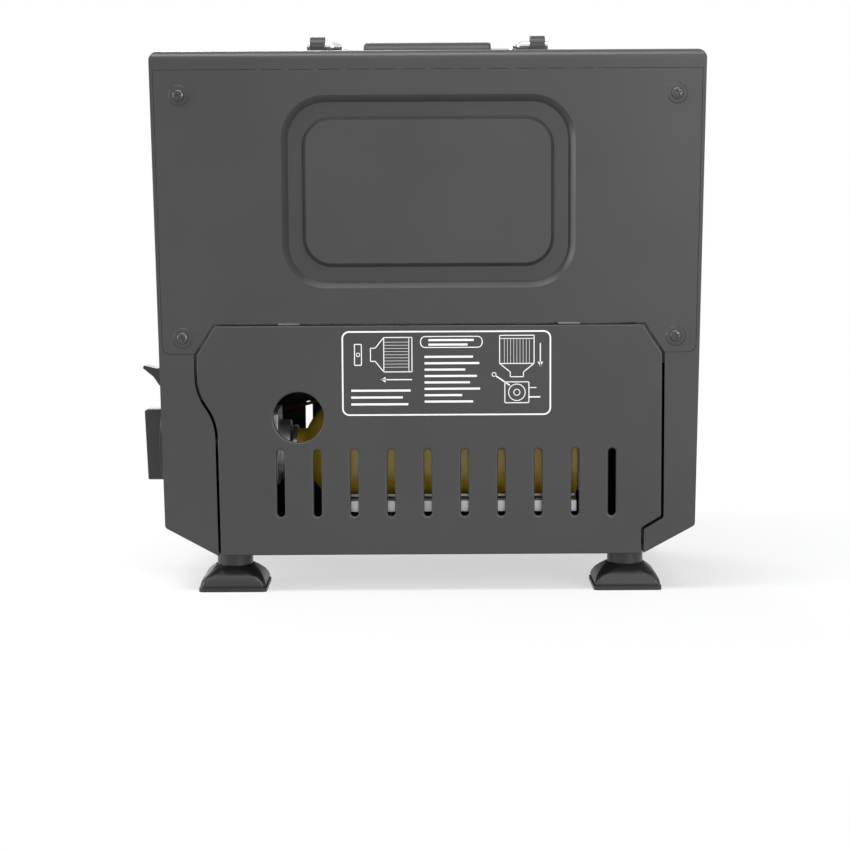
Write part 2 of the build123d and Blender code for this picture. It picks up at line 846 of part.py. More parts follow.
with BuildPart() as lever_tab:
    with BuildSketch(at_y(lever_y + tab_width / 2)):
        with BuildLine():
            FilletPolyline(
                (wall_x + 1.2, lever_z + 1.8),
                (wall_x + 6.0, lever_z + 3.2),
                (wall_x + 9.8, lever_z + 9.0),
                (wall_x + 16.8, lever_z + 14.8),
                (wall_x + 16.0, lever_z + 16.6),
                (wall_x + 8.0, lever_z + 14.6),
                (wall_x + 1.2, lever_z + 15.4),
                radius=[0.3, 2.0, 4.0, 0.7, 0.8, 3.0, 0.3],
                close=True,
            )
        make_face()
    extrude(amount=tab_width)
    with BuildSketch(at_y(lever_back)):
        with Locations((wall_x + 1.2, lever_z + 8.5)):
            Rectangle(1.6, 10.2)
    extrude(amount=lever_thickness, mode=Mode.SUBTRACT)
lever_tab.part.label = "lever_tab"

# Lever bracket: two ears on the inside of the side panel, and the pivot pin
ear_gap = 2.0
with BuildPart() as lever_bracket:
    for y in (lever_back + ear_gap + 2 * sheet + 6.5, lever_y - lever_thickness / 2 - ear_gap):
        with BuildSketch(at_y(y)):
            with BuildLine():
                Polyline(*moved_in(body_points(side_top), sheet), close=True)
            make_face()
            with Locations((lever_x + 15, lever_z)):
                Rectangle(40, 12, mode=Mode.INTERSECT)
            with Locations((lever_x, lever_z)):
                Circle(lever_pin_radius, mode=Mode.SUBTRACT)
        extrude(amount=2 * sheet)
lever_bracket.part.label = "lever_bracket"

pin_back = lever_back + ear_gap + 2 * sheet + 8.0
pin_front = lever_y - lever_thickness / 2 - ear_gap - 2 * sheet - 1.5
with BuildPart() as lever_pin:
    with BuildSketch(at_y(pin_back)):
        with Locations((lever_x, lever_z)):
            Circle(lever_pin_radius)
    extrude(amount=pin_back - pin_front)
lever_pin.part.label = "lever_pin"

# Regulator: body with the gas inlet bore, the control bore and the needle's bore
regulator_end = regulator_x + regulator_length
regulator_mid = regulator_x + regulator_length / 2
with BuildPart() as regulator_body:
    with BuildSketch(Plane.YZ.offset(regulator_x)):
        with Locations(
            ((regulator_front + regulator_back) / 2, (regulator_low + regulator_high) / 2)
        ):
            RectangleRounded(regulator_back - regulator_front, regulator_high - regulator_low, 5)
    extrude(amount=regulator_length)
    with BuildSketch(Plane.YZ.offset(regulator_end)):
        with Locations((knob_y, knob_z)):
            Circle(shaft_radius + shaft_clearance)
    extrude(amount=bore_end - regulator_end, mode=Mode.SUBTRACT)
    with BuildSketch(Plane.YZ.offset(bore_end)):
        with Locations((knob_y, knob_z)):
            Circle(needle_radius + shaft_clearance)
    extrude(amount=needle_x - 2 - bore_end, mode=Mode.SUBTRACT)
    with BuildSketch(Plane.YZ.offset(regulator_x)):
        with Locations((cartridge_y, cartridge_z)):
            Circle(stem_radius + stem_clearance)
    extrude(amount=6, mode=Mode.SUBTRACT)
regulator_body.part.label = "regulator_body"

inlet_x = regulator_x - inlet_length
with BuildPart() as inlet_socket:
    with BuildSketch(Plane.YZ.offset(inlet_x)):
        with Locations((cartridge_y, cartridge_z)):
            Circle(inlet_radius)
            Circle(stem_radius + stem_clearance, mode=Mode.SUBTRACT)
    extrude(amount=inlet_length)
    with BuildSketch(Plane.YZ.offset(inlet_x)):
        with Locations((cartridge_y, cartridge_z)):
            Circle(collar_radius + inlet_clearance)
    extrude(amount=inlet_recess, mode=Mode.SUBTRACT)
    with BuildSketch(Plane.YZ.offset(inlet_x + inlet_recess)):
        with Locations((cartridge_y, cartridge_z)):
            Circle(ring_seal_radius)
    extrude(amount=ring_seal_height, mode=Mode.SUBTRACT)
inlet_socket.part.label = "inlet_socket"

with BuildPart() as inlet_seal:
    with BuildSketch(Plane.YZ.offset(inlet_x + inlet_recess)):
        with Locations((cartridge_y, cartridge_z)):
            Circle(ring_seal_radius)
            Circle(stem_radius + stem_clearance, mode=Mode.SUBTRACT)
    extrude(amount=ring_seal_height)
inlet_seal.part.label = "inlet_seal"

cap_z = (regulator_low + regulator_high) / 2
with BuildPart() as regulator_cap:
    with BuildSketch(at_y(regulator_back)):
        with Locations((regulator_mid, cap_z)):
            Circle(cap_radius - 2)
    extrude(amount=-cap_height)
    with BuildSketch(at_y(regulator_back)):
        with Locations((regulator_mid, cap_z)):
            Circle(cap_radius)
    extrude(amount=-3)
    fillet(regulator_cap.faces().sort_by(Axis.Y)[-1].edges(), 2.0)
    with BuildSketch(at_y(regulator_back + cap_height)):
        with Locations((regulator_mid, cap_z)):
            Circle(4)
    extrude(amount=-2)
regulator_cap.part.label = "regulator_cap"

with BuildPart() as regulator_bracket:
    with BuildSketch(at_y(regulator_back - 4)):
        with BuildLine():
            Polyline(
                (regulator_x, body_bottom + 2 * sheet),
                (regulator_mid + 0.8, body_bottom + 2 * sheet),
                (regulator_mid + 0.8, regulator_low - 1.6),
                (regulator_end, regulator_low - 1.6),
                (regulator_end, regulator_low),
                (regulator_mid - 0.8, regulator_low),
                (regulator_mid - 0.8, body_bottom + 2 * sheet + 1.6),
                (regulator_x, body_bottom + 2 * sheet + 1.6),
                close=True,
            )
        make_face()
    extrude(amount=regulator_back - regulator_front - 8)
regulator_bracket.part.label = "regulator_bracket"

with BuildPart() as safety_valve:
    with BuildSketch(at_y(regulator_front)):
        with Locations((regulator_mid, regulator_high - 12)):
            Circle(8)
    extrude(amount=14)
    with BuildSketch(at_y(regulator_front - 14)):
        with Locations((regulator_mid, regulator_high - 12)):
            RegularPolygon(6, 6)
    extrude(amount=5)
safety_valve.part.label = "safety_valve"

# Control shaft with its cam, the knob, and the needle that the shaft moves
knob_back = half_width(knob_z + knob_radius) + knob_gap
with BuildPart() as control_shaft:
    with BuildSketch(Plane.YZ.offset(shaft_end)):
        with Locations((knob_y, knob_z)):
            Circle(shaft_radius)
    extrude(amount=knob_face - 4 - shaft_end)
    with BuildSketch(Plane.YZ.offset(cam_x)):
        with Locations((knob_y, knob_z)):
            Circle(cam_radius)
    extrude(amount=cam_thickness)
    with BuildSketch(Plane.YZ.offset(cam_x)):
        with Locations((knob_y, knob_z)):
            Circle(cam_radius - 0.5)
            Circle(16, mode=Mode.SUBTRACT)
        with BuildLine():
            Polyline(
                (knob_y, knob_z),
                (knob_y + 40 * math.cos(math.radians(88)), knob_z + 40 * math.sin(math.radians(88))),
                (knob_y + 40 * math.cos(math.radians(132)), knob_z + 40 * math.sin(math.radians(132))),
                close=True,
            )
        make_face(mode=Mode.INTERSECT)
    extrude(amount=-cam_lobe)
control_shaft.part.label = "control_shaft"

with BuildPart() as control_knob:
    with BuildSketch(Plane.YZ.offset(knob_back)):
        with Locations((knob_y, knob_z)):
            Circle(knob_radius)
    extrude(amount=knob_skirt)
    with BuildSketch(Plane.YZ.offset(knob_back + knob_skirt)):
        with Locations((knob_y, knob_z)):
            Circle(knob_radius)
            Rectangle(knob_bar, 4 * knob_radius, mode=Mode.INTERSECT)
    extrude(amount=knob_face - knob_back - knob_skirt)
    # The grip's outer face leans in towards its lower end, and its upper end is bevelled
    with BuildSketch(at_y(knob_y + knob_radius)):
        with BuildLine():
            Polyline(
                (knob_face, knob_z + knob_radius - 2.2),
                (knob_face - knob_face_lean, knob_z - knob_radius),
                (knob_face + 5, knob_z - knob_radius - 1),
                (knob_face + 5, knob_z + knob_radius + 1),
                (knob_face - 3.2, knob_z + knob_radius + 0.2),
                close=True,
            )
        make_face()
    extrude(amount=2 * knob_radius, mode=Mode.SUBTRACT)
    with BuildSketch(Plane.YZ.offset(knob_back)):
        with Locations((knob_y, knob_z)):
            Circle(shaft_radius)
    extrude(amount=knob_face - 4 - knob_back, mode=Mode.SUBTRACT)
control_knob.part.label = "control_knob"

with BuildPart() as valve_needle:
    with BuildSketch(Plane.YZ.offset(needle_x)):
        with Locations((knob_y, knob_z)):
            Circle(needle_radius)
    extrude(amount=needle_length)
    chamfer(valve_needle.faces().sort_by(Axis.X)[0].edges(), 1.2)
valve_needle.part.label = "valve_needle"

# Piezo igniter and its plunger
igniter_end = regulator_end - 1
plunger_tip = cam_x - 0.5
with BuildPart() as piezo_igniter:
    with BuildSketch(Plane.YZ.offset(igniter_end - 26)):
        with Locations((plunger_y, plunger_z)):
            RectangleRounded(16, 16, 2)
    extrude(amount=26)
    with BuildSketch(Plane.YZ.offset(igniter_end)):
        with Locations((plunger_y, plunger_z)):
            Circle(5)
    extrude(amount=12)
    with BuildSketch(Plane.YZ.offset(igniter_end + 12)):
        with Locations((plunger_y, plunger_z)):
            Circle(plunger_radius + shaft_clearance)
    extrude(amount=-28, mode=Mode.SUBTRACT)
piezo_igniter.part.label = "piezo_igniter"

with BuildPart() as igniter_plunger:
    with BuildSketch(Plane.YZ.offset(plunger_tip)):
        with Locations((plunger_y, plunger_z)):
            Circle(plunger_radius)
    extrude(amount=igniter_end - 10 - plunger_tip)
igniter_plunger.part.label = "igniter_plunger"

# Heat shield: an upright sheet behind the burner and a level one over the cartridge bay
shield_holes = [(60.0, -20.0), (40.0, -10.0), (122.0, 40.0)]
with BuildPart() as heat_shield:
    with BuildSketch(at_y(shield_y)):
        with BuildLine():
            Polyline(*moved_in(body_points(side_top), sheet), close=True)
        make_face()
        with Locations((0, (shield_z + side_top - 4) / 2)):
            Rectangle(4 * side_half_width, side_top - 4 - shield_z, mode=Mode.INTERSECT)
    extrude(amount=reflector_sheet)
    with BuildSketch(at_y(shield_y - reflector_sheet)):
        with BuildLine():
            Polyline(*moved_in(body_points(side_top), sheet), close=True)
        make_face()
        with Locations((0, shield_z + reflector_sheet / 2)):
            Rectangle(4 * side_half_width, reflector_sheet, mode=Mode.INTERSECT)
    extrude(amount=shield_y - reflector_sheet - side_front)
    with BuildSketch(Plane.XY.offset(shield_z)):
        with Locations(*shield_holes):
            Circle(shield_hole_radius)
        with Locations((lever_x + 5, lever_y + 5)):
            Rectangle(24, 30)
    extrude(amount=reflector_sheet, mode=Mode.SUBTRACT)
heat_shield.part.label = "heat_shield"

# Burner: two ceramic plaques in a gasket and a frame, on a mixing box
burner_width = 2 * plaque_width + plaque_gap
frame_width = burner_width + 2 * gasket + 2 * frame_wall
frame_height = plaque_height + 2 * gasket + 2 * frame_wall
plaque_back = plaque_front + plaque_thickness
frame_front = plaque_front - frame_wall


def ceramic_plaque(hand):
    """A ceramic plaque with rows of blind flame ports on its face."""
    x = hand * (plaque_width + plaque_gap) / 2
    with BuildPart() as plaque:
        with BuildSketch(at_y(plaque_back)):
            with Locations((x, burner_z)):
                Rectangle(plaque_width, plaque_height)
        extrude(amount=plaque_thickness)
        with BuildSketch(at_y(plaque_front)):
            with Locations((x, burner_z)):
                with GridLocations(9, 9, 9, 6):
                    Rectangle(4.5, 4.5)
        extrude(amount=-1.2, mode=Mode.SUBTRACT)
    return plaque.part


ceramic_plaque_right = ceramic_plaque(1)
ceramic_plaque_right.label = "ceramic_plaque_right"
ceramic_plaque_left = ceramic_plaque(-1)
ceramic_plaque_left.label = "ceramic_plaque_left"

with BuildPart() as plaque_gasket:
    with BuildSketch(at_y(plaque_back)):
        with Locations((0, burner_z)):
            Rectangle(burner_width + 2 * gasket, plaque_height + 2 * gasket)
            Rectangle(burner_width, plaque_height, mode=Mode.SUBTRACT)
    extrude(amount=plaque_thickness)
plaque_gasket.part.label = "plaque_gasket"

with BuildPart() as plaque_frame:
    with BuildSketch(at_y(plaque_back)):
        with Locations((0, burner_z)):
            Rectangle(frame_width, frame_height)
            Rectangle(frame_width - 2 * frame_wall, frame_height - 2 * frame_wall, mode=Mode.SUBTRACT)
    extrude(amount=plaque_thickness)
    with BuildSketch(at_y(plaque_front)):
        with Locations((0, burner_z)):
            Rectangle(frame_width, frame_height)
            Rectangle(burner_width - 2 * frame_lip, plaque_height - 2 * frame_lip, mode=Mode.SUBTRACT)
    extrude(amount=frame_wall)
plaque_frame.part.label = "plaque_frame"

with BuildPart() as burner_plenum:
    with BuildSketch(at_y(plaque_back + plenum_depth)):
        with Locations((0, burner_z)):
            Rectangle(frame_width, frame_height)
    extrude(amount=plenum_depth)
    with BuildSketch(at_y(plaque_back + plenum_depth - frame_wall)):
        with Locations((0, burner_z)):
            Rectangle(frame_width - 2 * frame_wall, frame_height - 2 * frame_wall)
    extrude(amount=plenum_depth, mode=Mode.SUBTRACT)
    with BuildSketch(Plane.YZ.offset(frame_width / 2 - 5)):
        with Locations((venturi_y, burner_z)):
            Circle(venturi_radius)
    extrude(amount=20, mode=Mode.SUBTRACT)
burner_plenum.part.label = "burner_plenum"

leg_top = burner_z - frame_height / 2
with BuildPart() as burner_legs:
    for x in (-80, 68):
        with BuildSketch(Plane.YZ.offset(x)):
            with BuildLine():
                Polyline(
                    (venturi_y - 10, shield_z + reflector_sheet),
                    (venturi_y + 14, shield_z + reflector_sheet),
                    (venturi_y + 14, shield_z + reflector_sheet + 1.5),
                    (venturi_y - 8.5, shield_z + reflector_sheet + 1.5),
                    (venturi_y - 8.5, leg_top - 1.5),
                    (venturi_y + 14, leg_top - 1.5),
                    (venturi_y + 14, leg_top),
                    (venturi_y - 10, leg_top),
                    close=True,
                )
            make_face()
        extrude(amount=12)
burner_legs.part.label = "burner_legs"

# Venturi: the gas jet enters its bell past four air windows
bell_start = injector_end - 38
with BuildPart() as venturi:
    with BuildSketch(Plane.YZ.offset(frame_width / 2 - 60)):
        with Locations((venturi_y, burner_z)):
            Circle(venturi_radius)
            Circle(venturi_bore, mode=Mode.SUBTRACT)
    extrude(amount=bell_start - frame_width / 2 + 62)
    with BuildSketch(Plane.YZ.offset(bell_start)):
        with Locations((venturi_y, burner_z)):
            Circle(bell_radius)
            Circle(venturi_bore, mode=Mode.SUBTRACT)
    extrude(amount=2)
    with BuildSketch(Plane.YZ.offset(bell_start + 2)):
        with Locations((venturi_y, burner_z)):
            Circle(bell_radius)
            Circle(bell_radius - 1.5, mode=Mode.SUBTRACT)
    extrude(amount=24)
    with BuildSketch(Plane.YZ.offset(bell_start + 26)):
        with Locations((venturi_y, burner_z)):
            Circle(bell_radius)
            Circle(4, mode=Mode.SUBTRACT)
    extrude(amount=2)
    with BuildSketch(Plane.XY.offset(burner_z - 20)):
        with Locations((bell_start + 14, venturi_y)):
            Rectangle(14, 10)
    extrude(amount=40, mode=Mode.SUBTRACT)
venturi.part.label = "venturi"

with BuildPart() as gas_injector:
    with BuildSketch(Plane.YZ.offset(bell_start + 20)):
        with Locations((venturi_y, burner_z)):
            Circle(4)
    extrude(amount=8)
    with BuildSketch(Plane.YZ.offset(bell_start + 28)):
        with Locations((venturi_y, burner_z)):
            RegularPolygon(6, 6)
    extrude(amount=injector_end - bell_start - 28)
    with BuildSketch(Plane.YZ.offset(injector_end)):
        with Locations((venturi_y, burner_z)):
            Circle(1.5)
    extrude(amount=-16, mode=Mode.SUBTRACT)
gas_injector.part.label = "gas_injector"

# Pipe and leads: straight runs joined by arcs
pipe_points = [
    (injector_end, venturi_y, burner_z),
    (injector_end + 17, venturi_y, burner_z),
    (injector_end + 17, 10, 168),
    (122, 40, 164),
    (122, 40, regulator_high),
]
thermocouple_points = [
    (22, -58, 172),
    (22, -58, 156),
    (60, -20, 156),
    (60, -20, 118),
    (regulator_mid, -20, 104),
    (regulator_mid, regulator_front - 19, 104),
]
igniter_points = [
    (-22, -58, 170),
    (-22, -58, 152),
    (40, -10, 152),
    (40, -10, 112),
    (84, 20, plunger_z),
    (igniter_end - 26, 20, plunger_z),
]


def corner_radii(points):
    """The largest arc that each corner's two runs leave room for."""
    radii = []
    for a, b, c in zip(points, points[1:], points[2:]):
        before = Vector(*b) - Vector(*a)
        after = Vector(*c) - Vector(*b)
        turn = math.radians(before.get_angle(after))
        radii.append(0.45 * min(before.length, after.length) / math.tan(turn / 2))
    return radii


def tube(points, radius):
    """A round tube's solid along runs joined by arcs."""
    with BuildPart() as made:
        with BuildLine() as path:
            FilletPolyline(*points, radius=corner_radii(points))
        start = Vector(*points[0])
        with BuildSketch(Plane(origin=start, z_dir=Vector(*points[1]) - start)):
            Circle(radius)
        sweep(path=path.line)
    expected = math.pi * radius**2 * path.wires()[0].length
    print("tube", [round(r, 1) for r in corner_radii(points)], round(made.part.volume / expected, 4))
    return made.part


gas_pipe = tube(pipe_points, pipe_radius)
gas_pipe.label = "gas_pipe"
thermocouple_lead = tube(thermocouple_points, lead_radius)
thermocouple_lead.label = "thermocouple_lead"
igniter_lead = tube(igniter_points, lead_radius)
igniter_lead.label = "igniter_lead"

with BuildPart() as pipe_nuts:
    with BuildSketch(Plane.YZ.offset(injector_end)):
        with Locations((venturi_y, burner_z)):
            RegularPolygon(5.5, 6)
            Circle(pipe_radius, mode=Mode.SUBTRACT)
    extrude(amount=6)
    with BuildSketch(Plane.XY.offset(regulator_high)):
        with Locations((122, 40)):
            RegularPolygon(5.5, 6)
            Circle(pipe_radius, mode=Mode.SUBTRACT)
    extrude(amount=6)
pipe_nuts.part.label = "pipe_nuts"

# Reflector: a bright funnel from the plaque frame to the opening in the front panel
reflector_front = front + opening_return
window_width = burner_width - 2 * frame_lip + 2
window_height = plaque_height - 2 * frame_lip + 2
mouth_width = opening_width - 8
mouth_height = opening_height - 8
with BuildPart() as reflector:
    with BuildSketch(at_y(frame_front)):
        with Locations((0, burner_z)):
            RectangleRounded(window_width + 2 * reflector_sheet, window_height + 2 * reflector_sheet, 3)
    with BuildSketch(at_y(reflector_front)):
        with Locations((0, burner_z)):
            RectangleRounded(mouth_width + 2 * reflector_sheet, mouth_height + 2 * reflector_sheet, 11)
    loft(ruled=True)
    with BuildSketch(at_y(reflector_front)):
        with Locations((0, burner_z)):
            RectangleRounded(opening_width + 10, opening_height + 10, opening_corner + 3)
    extrude(amount=-reflector_sheet)
    with BuildSketch(at_y(frame_front)):
        with Locations((0, burner_z)):
            RectangleRounded(window_width, window_height, 2.5)
    with BuildSketch(at_y(reflector_front)):
        with Locations((0, burner_z)):
            RectangleRounded(mouth_width, mouth_height, 10)
    loft(ruled=True, mode=Mode.SUBTRACT)
    with BuildSketch(Plane.XY.offset(burner_z - 100)):
        with Locations((-22, -58)):
            Circle(3)
        with Locations((22, -58)):
            Circle(1.6)
    extrude(amount=90, mode=Mode.SUBTRACT)
reflector.part.label = "reflector"

with BuildPart() as spark_insulator:
    with BuildSketch(Plane.XY.offset(170)):
        with Locations((-22, -58)):
            Circle(3)
            Circle(0.9, mode=Mode.SUBTRACT)
    extrude(amount=28)
spark_insulator.part.label = "spark_insulator"

spark_points = [(-22, -58, 170), (-22, -58, 203), (-22, -52, 211)]
spark_electrode = tube(spark_points, 0.9)
spark_electrode.label = "spark_electrode"

with BuildPart() as thermocouple:
    with BuildSketch(Plane.XY.offset(172)):
        with Locations((22, -58)):
            Circle(1.6)
    extrude(amount=36)
    fillet(thermocouple.faces().sort_by(Axis.Z)[-1].edges(), 1.2)
thermocouple.part.label = "thermocouple"

# Wire guard in the front opening
guard_half_width = opening_width / 2 - guard_rod - 0.2
guard_half_height = opening_height / 2 - guard_rod - 0.2
with BuildPart() as guard_wires:
    with BuildSketch(Plane.YZ.offset(-opening_width / 2)):
        with Locations((guard_y, burner_z)):
            with GridLocations(0, 2 * guard_half_height / (guard_count + 1), 1, guard_count):
                Circle(guard_wire)
    extrude(amount=opening_width)
    # The upright wires cross in front of the level ones and are let into the rim
    with BuildSketch(Plane.XY.offset(burner_z - guard_half_height)):
        with Locations((0, guard_y - guard_wire - guard_post - guard_gap)):
            with GridLocations(guard_post_x, 0, 3, 1):
                Circle(guard_post)
    extrude(amount=2 * guard_half_height)
with BuildPart() as guard_rim:
    with BuildLine(at_y(guard_y)) as rim:
        FilletPolyline(
            (-guard_half_width, burner_z - guard_half_height),
            (guard_half_width, burner_z - guard_half_height),
            (guard_half_width, burner_z + guard_half_height),
            (-guard_half_width, burner_z + guard_half_height),
            radius=opening_corner - guard_rod,
            close=True,
        )
    with BuildSketch(Plane(origin=rim.line @ 0.5, z_dir=rim.line % 0.5)):
        Circle(guard_rod)
    sweep(path=rim.line)
    add(guard_wires.part, mode=Mode.SUBTRACT)
wire_guard = Compound([*guard_rim.part.solids(), *guard_wires.part.solids()])
wire_guard.label = "wire_guard"

# Carry handle: two brackets on the lid, a bent rod and its grip
handle_z = body_top + handle_rise
bracket_x = handle_half + handle_bend + 2
with BuildPart() as handle_brackets:
    for x in (-bracket_x - handle_bracket, bracket_x):
        with BuildSketch(Plane.YZ.offset(x)):
            with Locations((handle_y, handle_z)):
                Circle(6.5)
            with Locations((handle_y, (body_top + handle_z) / 2)):
                Rectangle(20, handle_rise)
            with Locations((handle_y, handle_z)):
                Circle(handle_rod + handle_clearance, mode=Mode.SUBTRACT)
        extrude(amount=handle_bracket)
handle_brackets.part.label = "handle_brackets"

handle_tip = bracket_x + handle_bracket + 2
handle_points = [
    (handle_tip, handle_y, handle_z),
    (handle_half, handle_y, handle_z),
    (handle_half, handle_y - handle_reach, handle_z),
    (-handle_half, handle_y - handle_reach, handle_z),
    (-handle_half, handle_y, handle_z),
    (-handle_tip, handle_y, handle_z),
]
with BuildPart() as handle_bail:
    with BuildLine() as bail_path:
        FilletPolyline(*handle_points, radius=handle_bend)
    with BuildSketch(Plane(origin=handle_points[0], z_dir=(-1, 0, 0))):
        Circle(handle_rod)
    sweep(path=bail_path.line)
handle_bail.part.label = "handle_bail"

with BuildPart() as handle_grip:
    with BuildSketch(Plane.YZ.offset(-grip_half)):
        with Locations((handle_y - handle_reach, handle_z)):
            Circle(grip_radius)
    extrude(amount=2 * grip_half)
    fillet(handle_grip.edges(), 2.0)
    with BuildSketch(Plane.YZ.offset(-grip_half)):
        with Locations((handle_y - handle_reach, handle_z)):
            Circle(handle_rod)
    extrude(amount=2 * grip_half, mode=Mode.SUBTRACT)
handle_grip.part.label = "handle_grip"

# Tip-over switch: an open box with a hanging weight
switch_floor = body_bottom + 2 * sheet
pivot_z = switch_floor + switch_height - 6
with BuildPart() as tip_switch_box:
    with BuildSketch(Plane.XY.offset(switch_floor)):
        with Locations((switch_x, switch_y)):
            Rectangle(switch_width, switch_depth)
    extrude(amount=switch_height)
    with BuildSketch(Plane.XY.offset(switch_floor + switch_wall)):
        with Locations((switch_x, switch_y)):
            Rectangle(switch_width - 2 * switch_wall, switch_depth - 2 * switch_wall)
    extrude(amount=switch_height, mode=Mode.SUBTRACT)
    with BuildSketch(at_y(switch_y + switch_depth / 2)):
        with Locations((switch_x, pivot_z)):
            Circle(1.05)
    extrude(amount=switch_depth, mode=Mode.SUBTRACT)
tip_switch_box.part.label = "tip_switch_box"

with BuildPart() as tilt_pendulum:
    with BuildSketch(at_y(switch_y + switch_depth / 2)):
        with Locations((switch_x, pivot_z)):
            Circle(1.0)
    extrude(amount=switch_depth)
    with BuildSketch(Plane.XY.offset(pivot_z)):
        with Locations((switch_x, switch_y)):
            Circle(1.6)
    extrude(amount=-12)
    with BuildSketch(Plane.XY.offset(pivot_z - 12)):
        with Locations((switch_x, switch_y)):
            Circle(bob_radius)
    extrude(amount=-9)
tilt_pendulum.part.label = "tilt_pendulum"

pieces = [
    base_plate.part,
    side_panel_right,
    side_panel_left,
    rear_cover.part,
    cartridge_door.part,
    door_hinge_brackets.part,
    door_hinge_pins.part,
    door_catches.part,
    front_panel.part,
    lid.part,
    lid_clips.part,
    case_screws,
    foot_posts.part,
    cartridge_can.part,
    cartridge_collar.part,
    cartridge_stem.part,
    cartridge_cradle.part,
    lock_yoke.part,
    lock_lever.part,
    lever_tab.part,
    lever_bracket.part,
    lever_pin.part,
    regulator_body.part,
    inlet_socket.part,
    inlet_seal.part,
    regulator_cap.part,
    regulator_bracket.part,
    safety_valve.part,
    control_shaft.part,
    control_knob.part,
    valve_needle.part,
    piezo_igniter.part,
    igniter_plunger.part,
    heat_shield.part,
    ceramic_plaque_right,
    ceramic_plaque_left,
    plaque_gasket.part,
    plaque_frame.part,
    burner_plenum.part,
    burner_legs.part,
    venturi.part,
    gas_injector.part,
    gas_pipe,
    pipe_nuts.part,
    thermocouple_lead,
    igniter_lead,
    reflector.part,
    spark_insulator.part,
    spark_electrode,
    thermocouple.part,
    wire_guard,
    handle_brackets.part,
    handle_bail.part,
    handle_grip.part,
    tip_switch_box.part,
    tilt_pendulum.part,
]
shoe_names = [
    "foot_shoe_front_left",
    "foot_shoe_rear_left",
    "foot_shoe_front_right",
    "foot_shoe_rear_right",
]
for (x, y), name in zip(feet_at, shoe_names):
    shoe = foot_shoe(x, y)
    shoe.label = name
    pieces.append(shoe)

# The origin is on the floor under the middle of the whole object, knob and screw heads included
middle_x = (knob_face - side_screw_x - screw_head_height) / 2
os.makedirs("parts", exist_ok=True)
for piece in pieces:
    placed = piece.moved(Location((-middle_x, 0, 0)))
    placed.label = piece.label
    export_step(placed, f"parts/{piece.label}.step")
print(len(pieces), "pieces")
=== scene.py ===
"""A portable cartridge heater seen from behind: finishes, printed panel, screws, guard wires and studio."""

import json
import logging
import math
from dataclasses import dataclass, field
from enum import Enum

import bmesh
import bpy
from mathutils import Matrix, Vector


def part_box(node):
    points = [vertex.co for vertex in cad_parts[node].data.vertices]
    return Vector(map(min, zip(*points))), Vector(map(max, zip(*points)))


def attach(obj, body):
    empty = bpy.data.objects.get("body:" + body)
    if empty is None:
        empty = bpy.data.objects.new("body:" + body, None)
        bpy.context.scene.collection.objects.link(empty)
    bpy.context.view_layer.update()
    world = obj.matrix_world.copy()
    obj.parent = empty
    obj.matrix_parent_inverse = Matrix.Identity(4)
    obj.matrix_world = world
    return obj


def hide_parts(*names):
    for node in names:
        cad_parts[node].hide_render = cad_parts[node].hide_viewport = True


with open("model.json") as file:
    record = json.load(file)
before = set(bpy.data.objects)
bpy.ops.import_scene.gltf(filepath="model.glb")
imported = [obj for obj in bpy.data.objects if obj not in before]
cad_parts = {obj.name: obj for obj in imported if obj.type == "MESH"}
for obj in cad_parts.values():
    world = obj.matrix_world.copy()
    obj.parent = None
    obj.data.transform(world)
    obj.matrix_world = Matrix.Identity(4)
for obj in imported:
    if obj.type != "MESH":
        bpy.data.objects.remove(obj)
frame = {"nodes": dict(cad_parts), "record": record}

LOG = logging.getLogger("heater")
MM = 0.001
Colour = tuple[float, float, float]
Point2 = tuple[float, float]
Point3 = tuple[float, float, float]

# Signs of a rectangle's corners, counted anticlockwise
CORNERS = ((1, 1), (-1, 1), (-1, -1), (1, -1))
# Gap that keeps ink and flame ports off the face under them
HAIR = 0.02 * MM
# Sides of a round wire
WIRE_SIDES = 14
# What every finish shares: depth of the grain, the mask values between which gloss changes, and its specks
GRAIN_DEPTH = 0.1 * MM
GLOSS_MASK = (0.3, 0.7)
SPECKS_PER_METRE = 160.0
COAT_ROUGHNESS = 0.15


class Grain(Enum):
    """How the grain of a finish runs, as its scale along each axis."""

    EVEN = (1.0, 1.0, 1.0)
    BRUSHED = (0.03, 1.0, 1.0)


def socket(tree: bpy.types.NodeTree, name: str, kind: str, output: bool = False) -> None:
    """Adds a named socket to a node group.

    Args:
        tree: The node group.
        name: The socket's name.
        kind: The socket's type, such as NodeSocketFloat.
        output: True for an output, False for an input.
    """
    tree.interface.new_socket(name=name, in_out="OUTPUT" if output else "INPUT", socket_type=kind)


def link_object(name: str, data: bpy.types.ID) -> bpy.types.Object:
    """Makes an object in the scene.

    Args:
        name: The object's name.
        data: Its mesh, lamp or camera.

    Returns:
        The new object.
    """
    made = bpy.data.objects.new(name, data)
    bpy.context.scene.collection.objects.link(made)
    return made


def mesh_object(name: str, shape: bmesh.types.BMesh) -> bpy.types.Object:
    """Turns a shape into a mesh object in the scene.

    Args:
        name: The name of the object and of its mesh.
        shape: The shape, which is freed.

    Returns:
        The new object.
    """
    mesh = bpy.data.meshes.new(name)
    shape.to_mesh(mesh)
    shape.free()
    return link_object(name, mesh)


def bake_modifiers(obj: bpy.types.Object, name: str) -> bpy.types.Object:
    """Turns an object with modifiers into a plain mesh object.

    Args:
        obj: The object, which is removed.
        name: The name of the result.

    Returns:
        The plain object.
    """
    depsgraph = bpy.context.evaluated_depsgraph_get()
    mesh = bpy.data.meshes.new_from_object(obj.evaluated_get(depsgraph))
    mesh.name = name
    bpy.data.objects.remove(obj)
    return link_object(name, mesh)


def frame_back() -> float:
    """Depth of the heater's back face in metres."""
    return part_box("cartridge_door")[1][1]


def body_middle() -> float:
    """The body's own middle across the heater in metres; the knob stands out on one side of it."""
    low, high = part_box("rear_cover")
    return (low[0] + high[0]) / 2


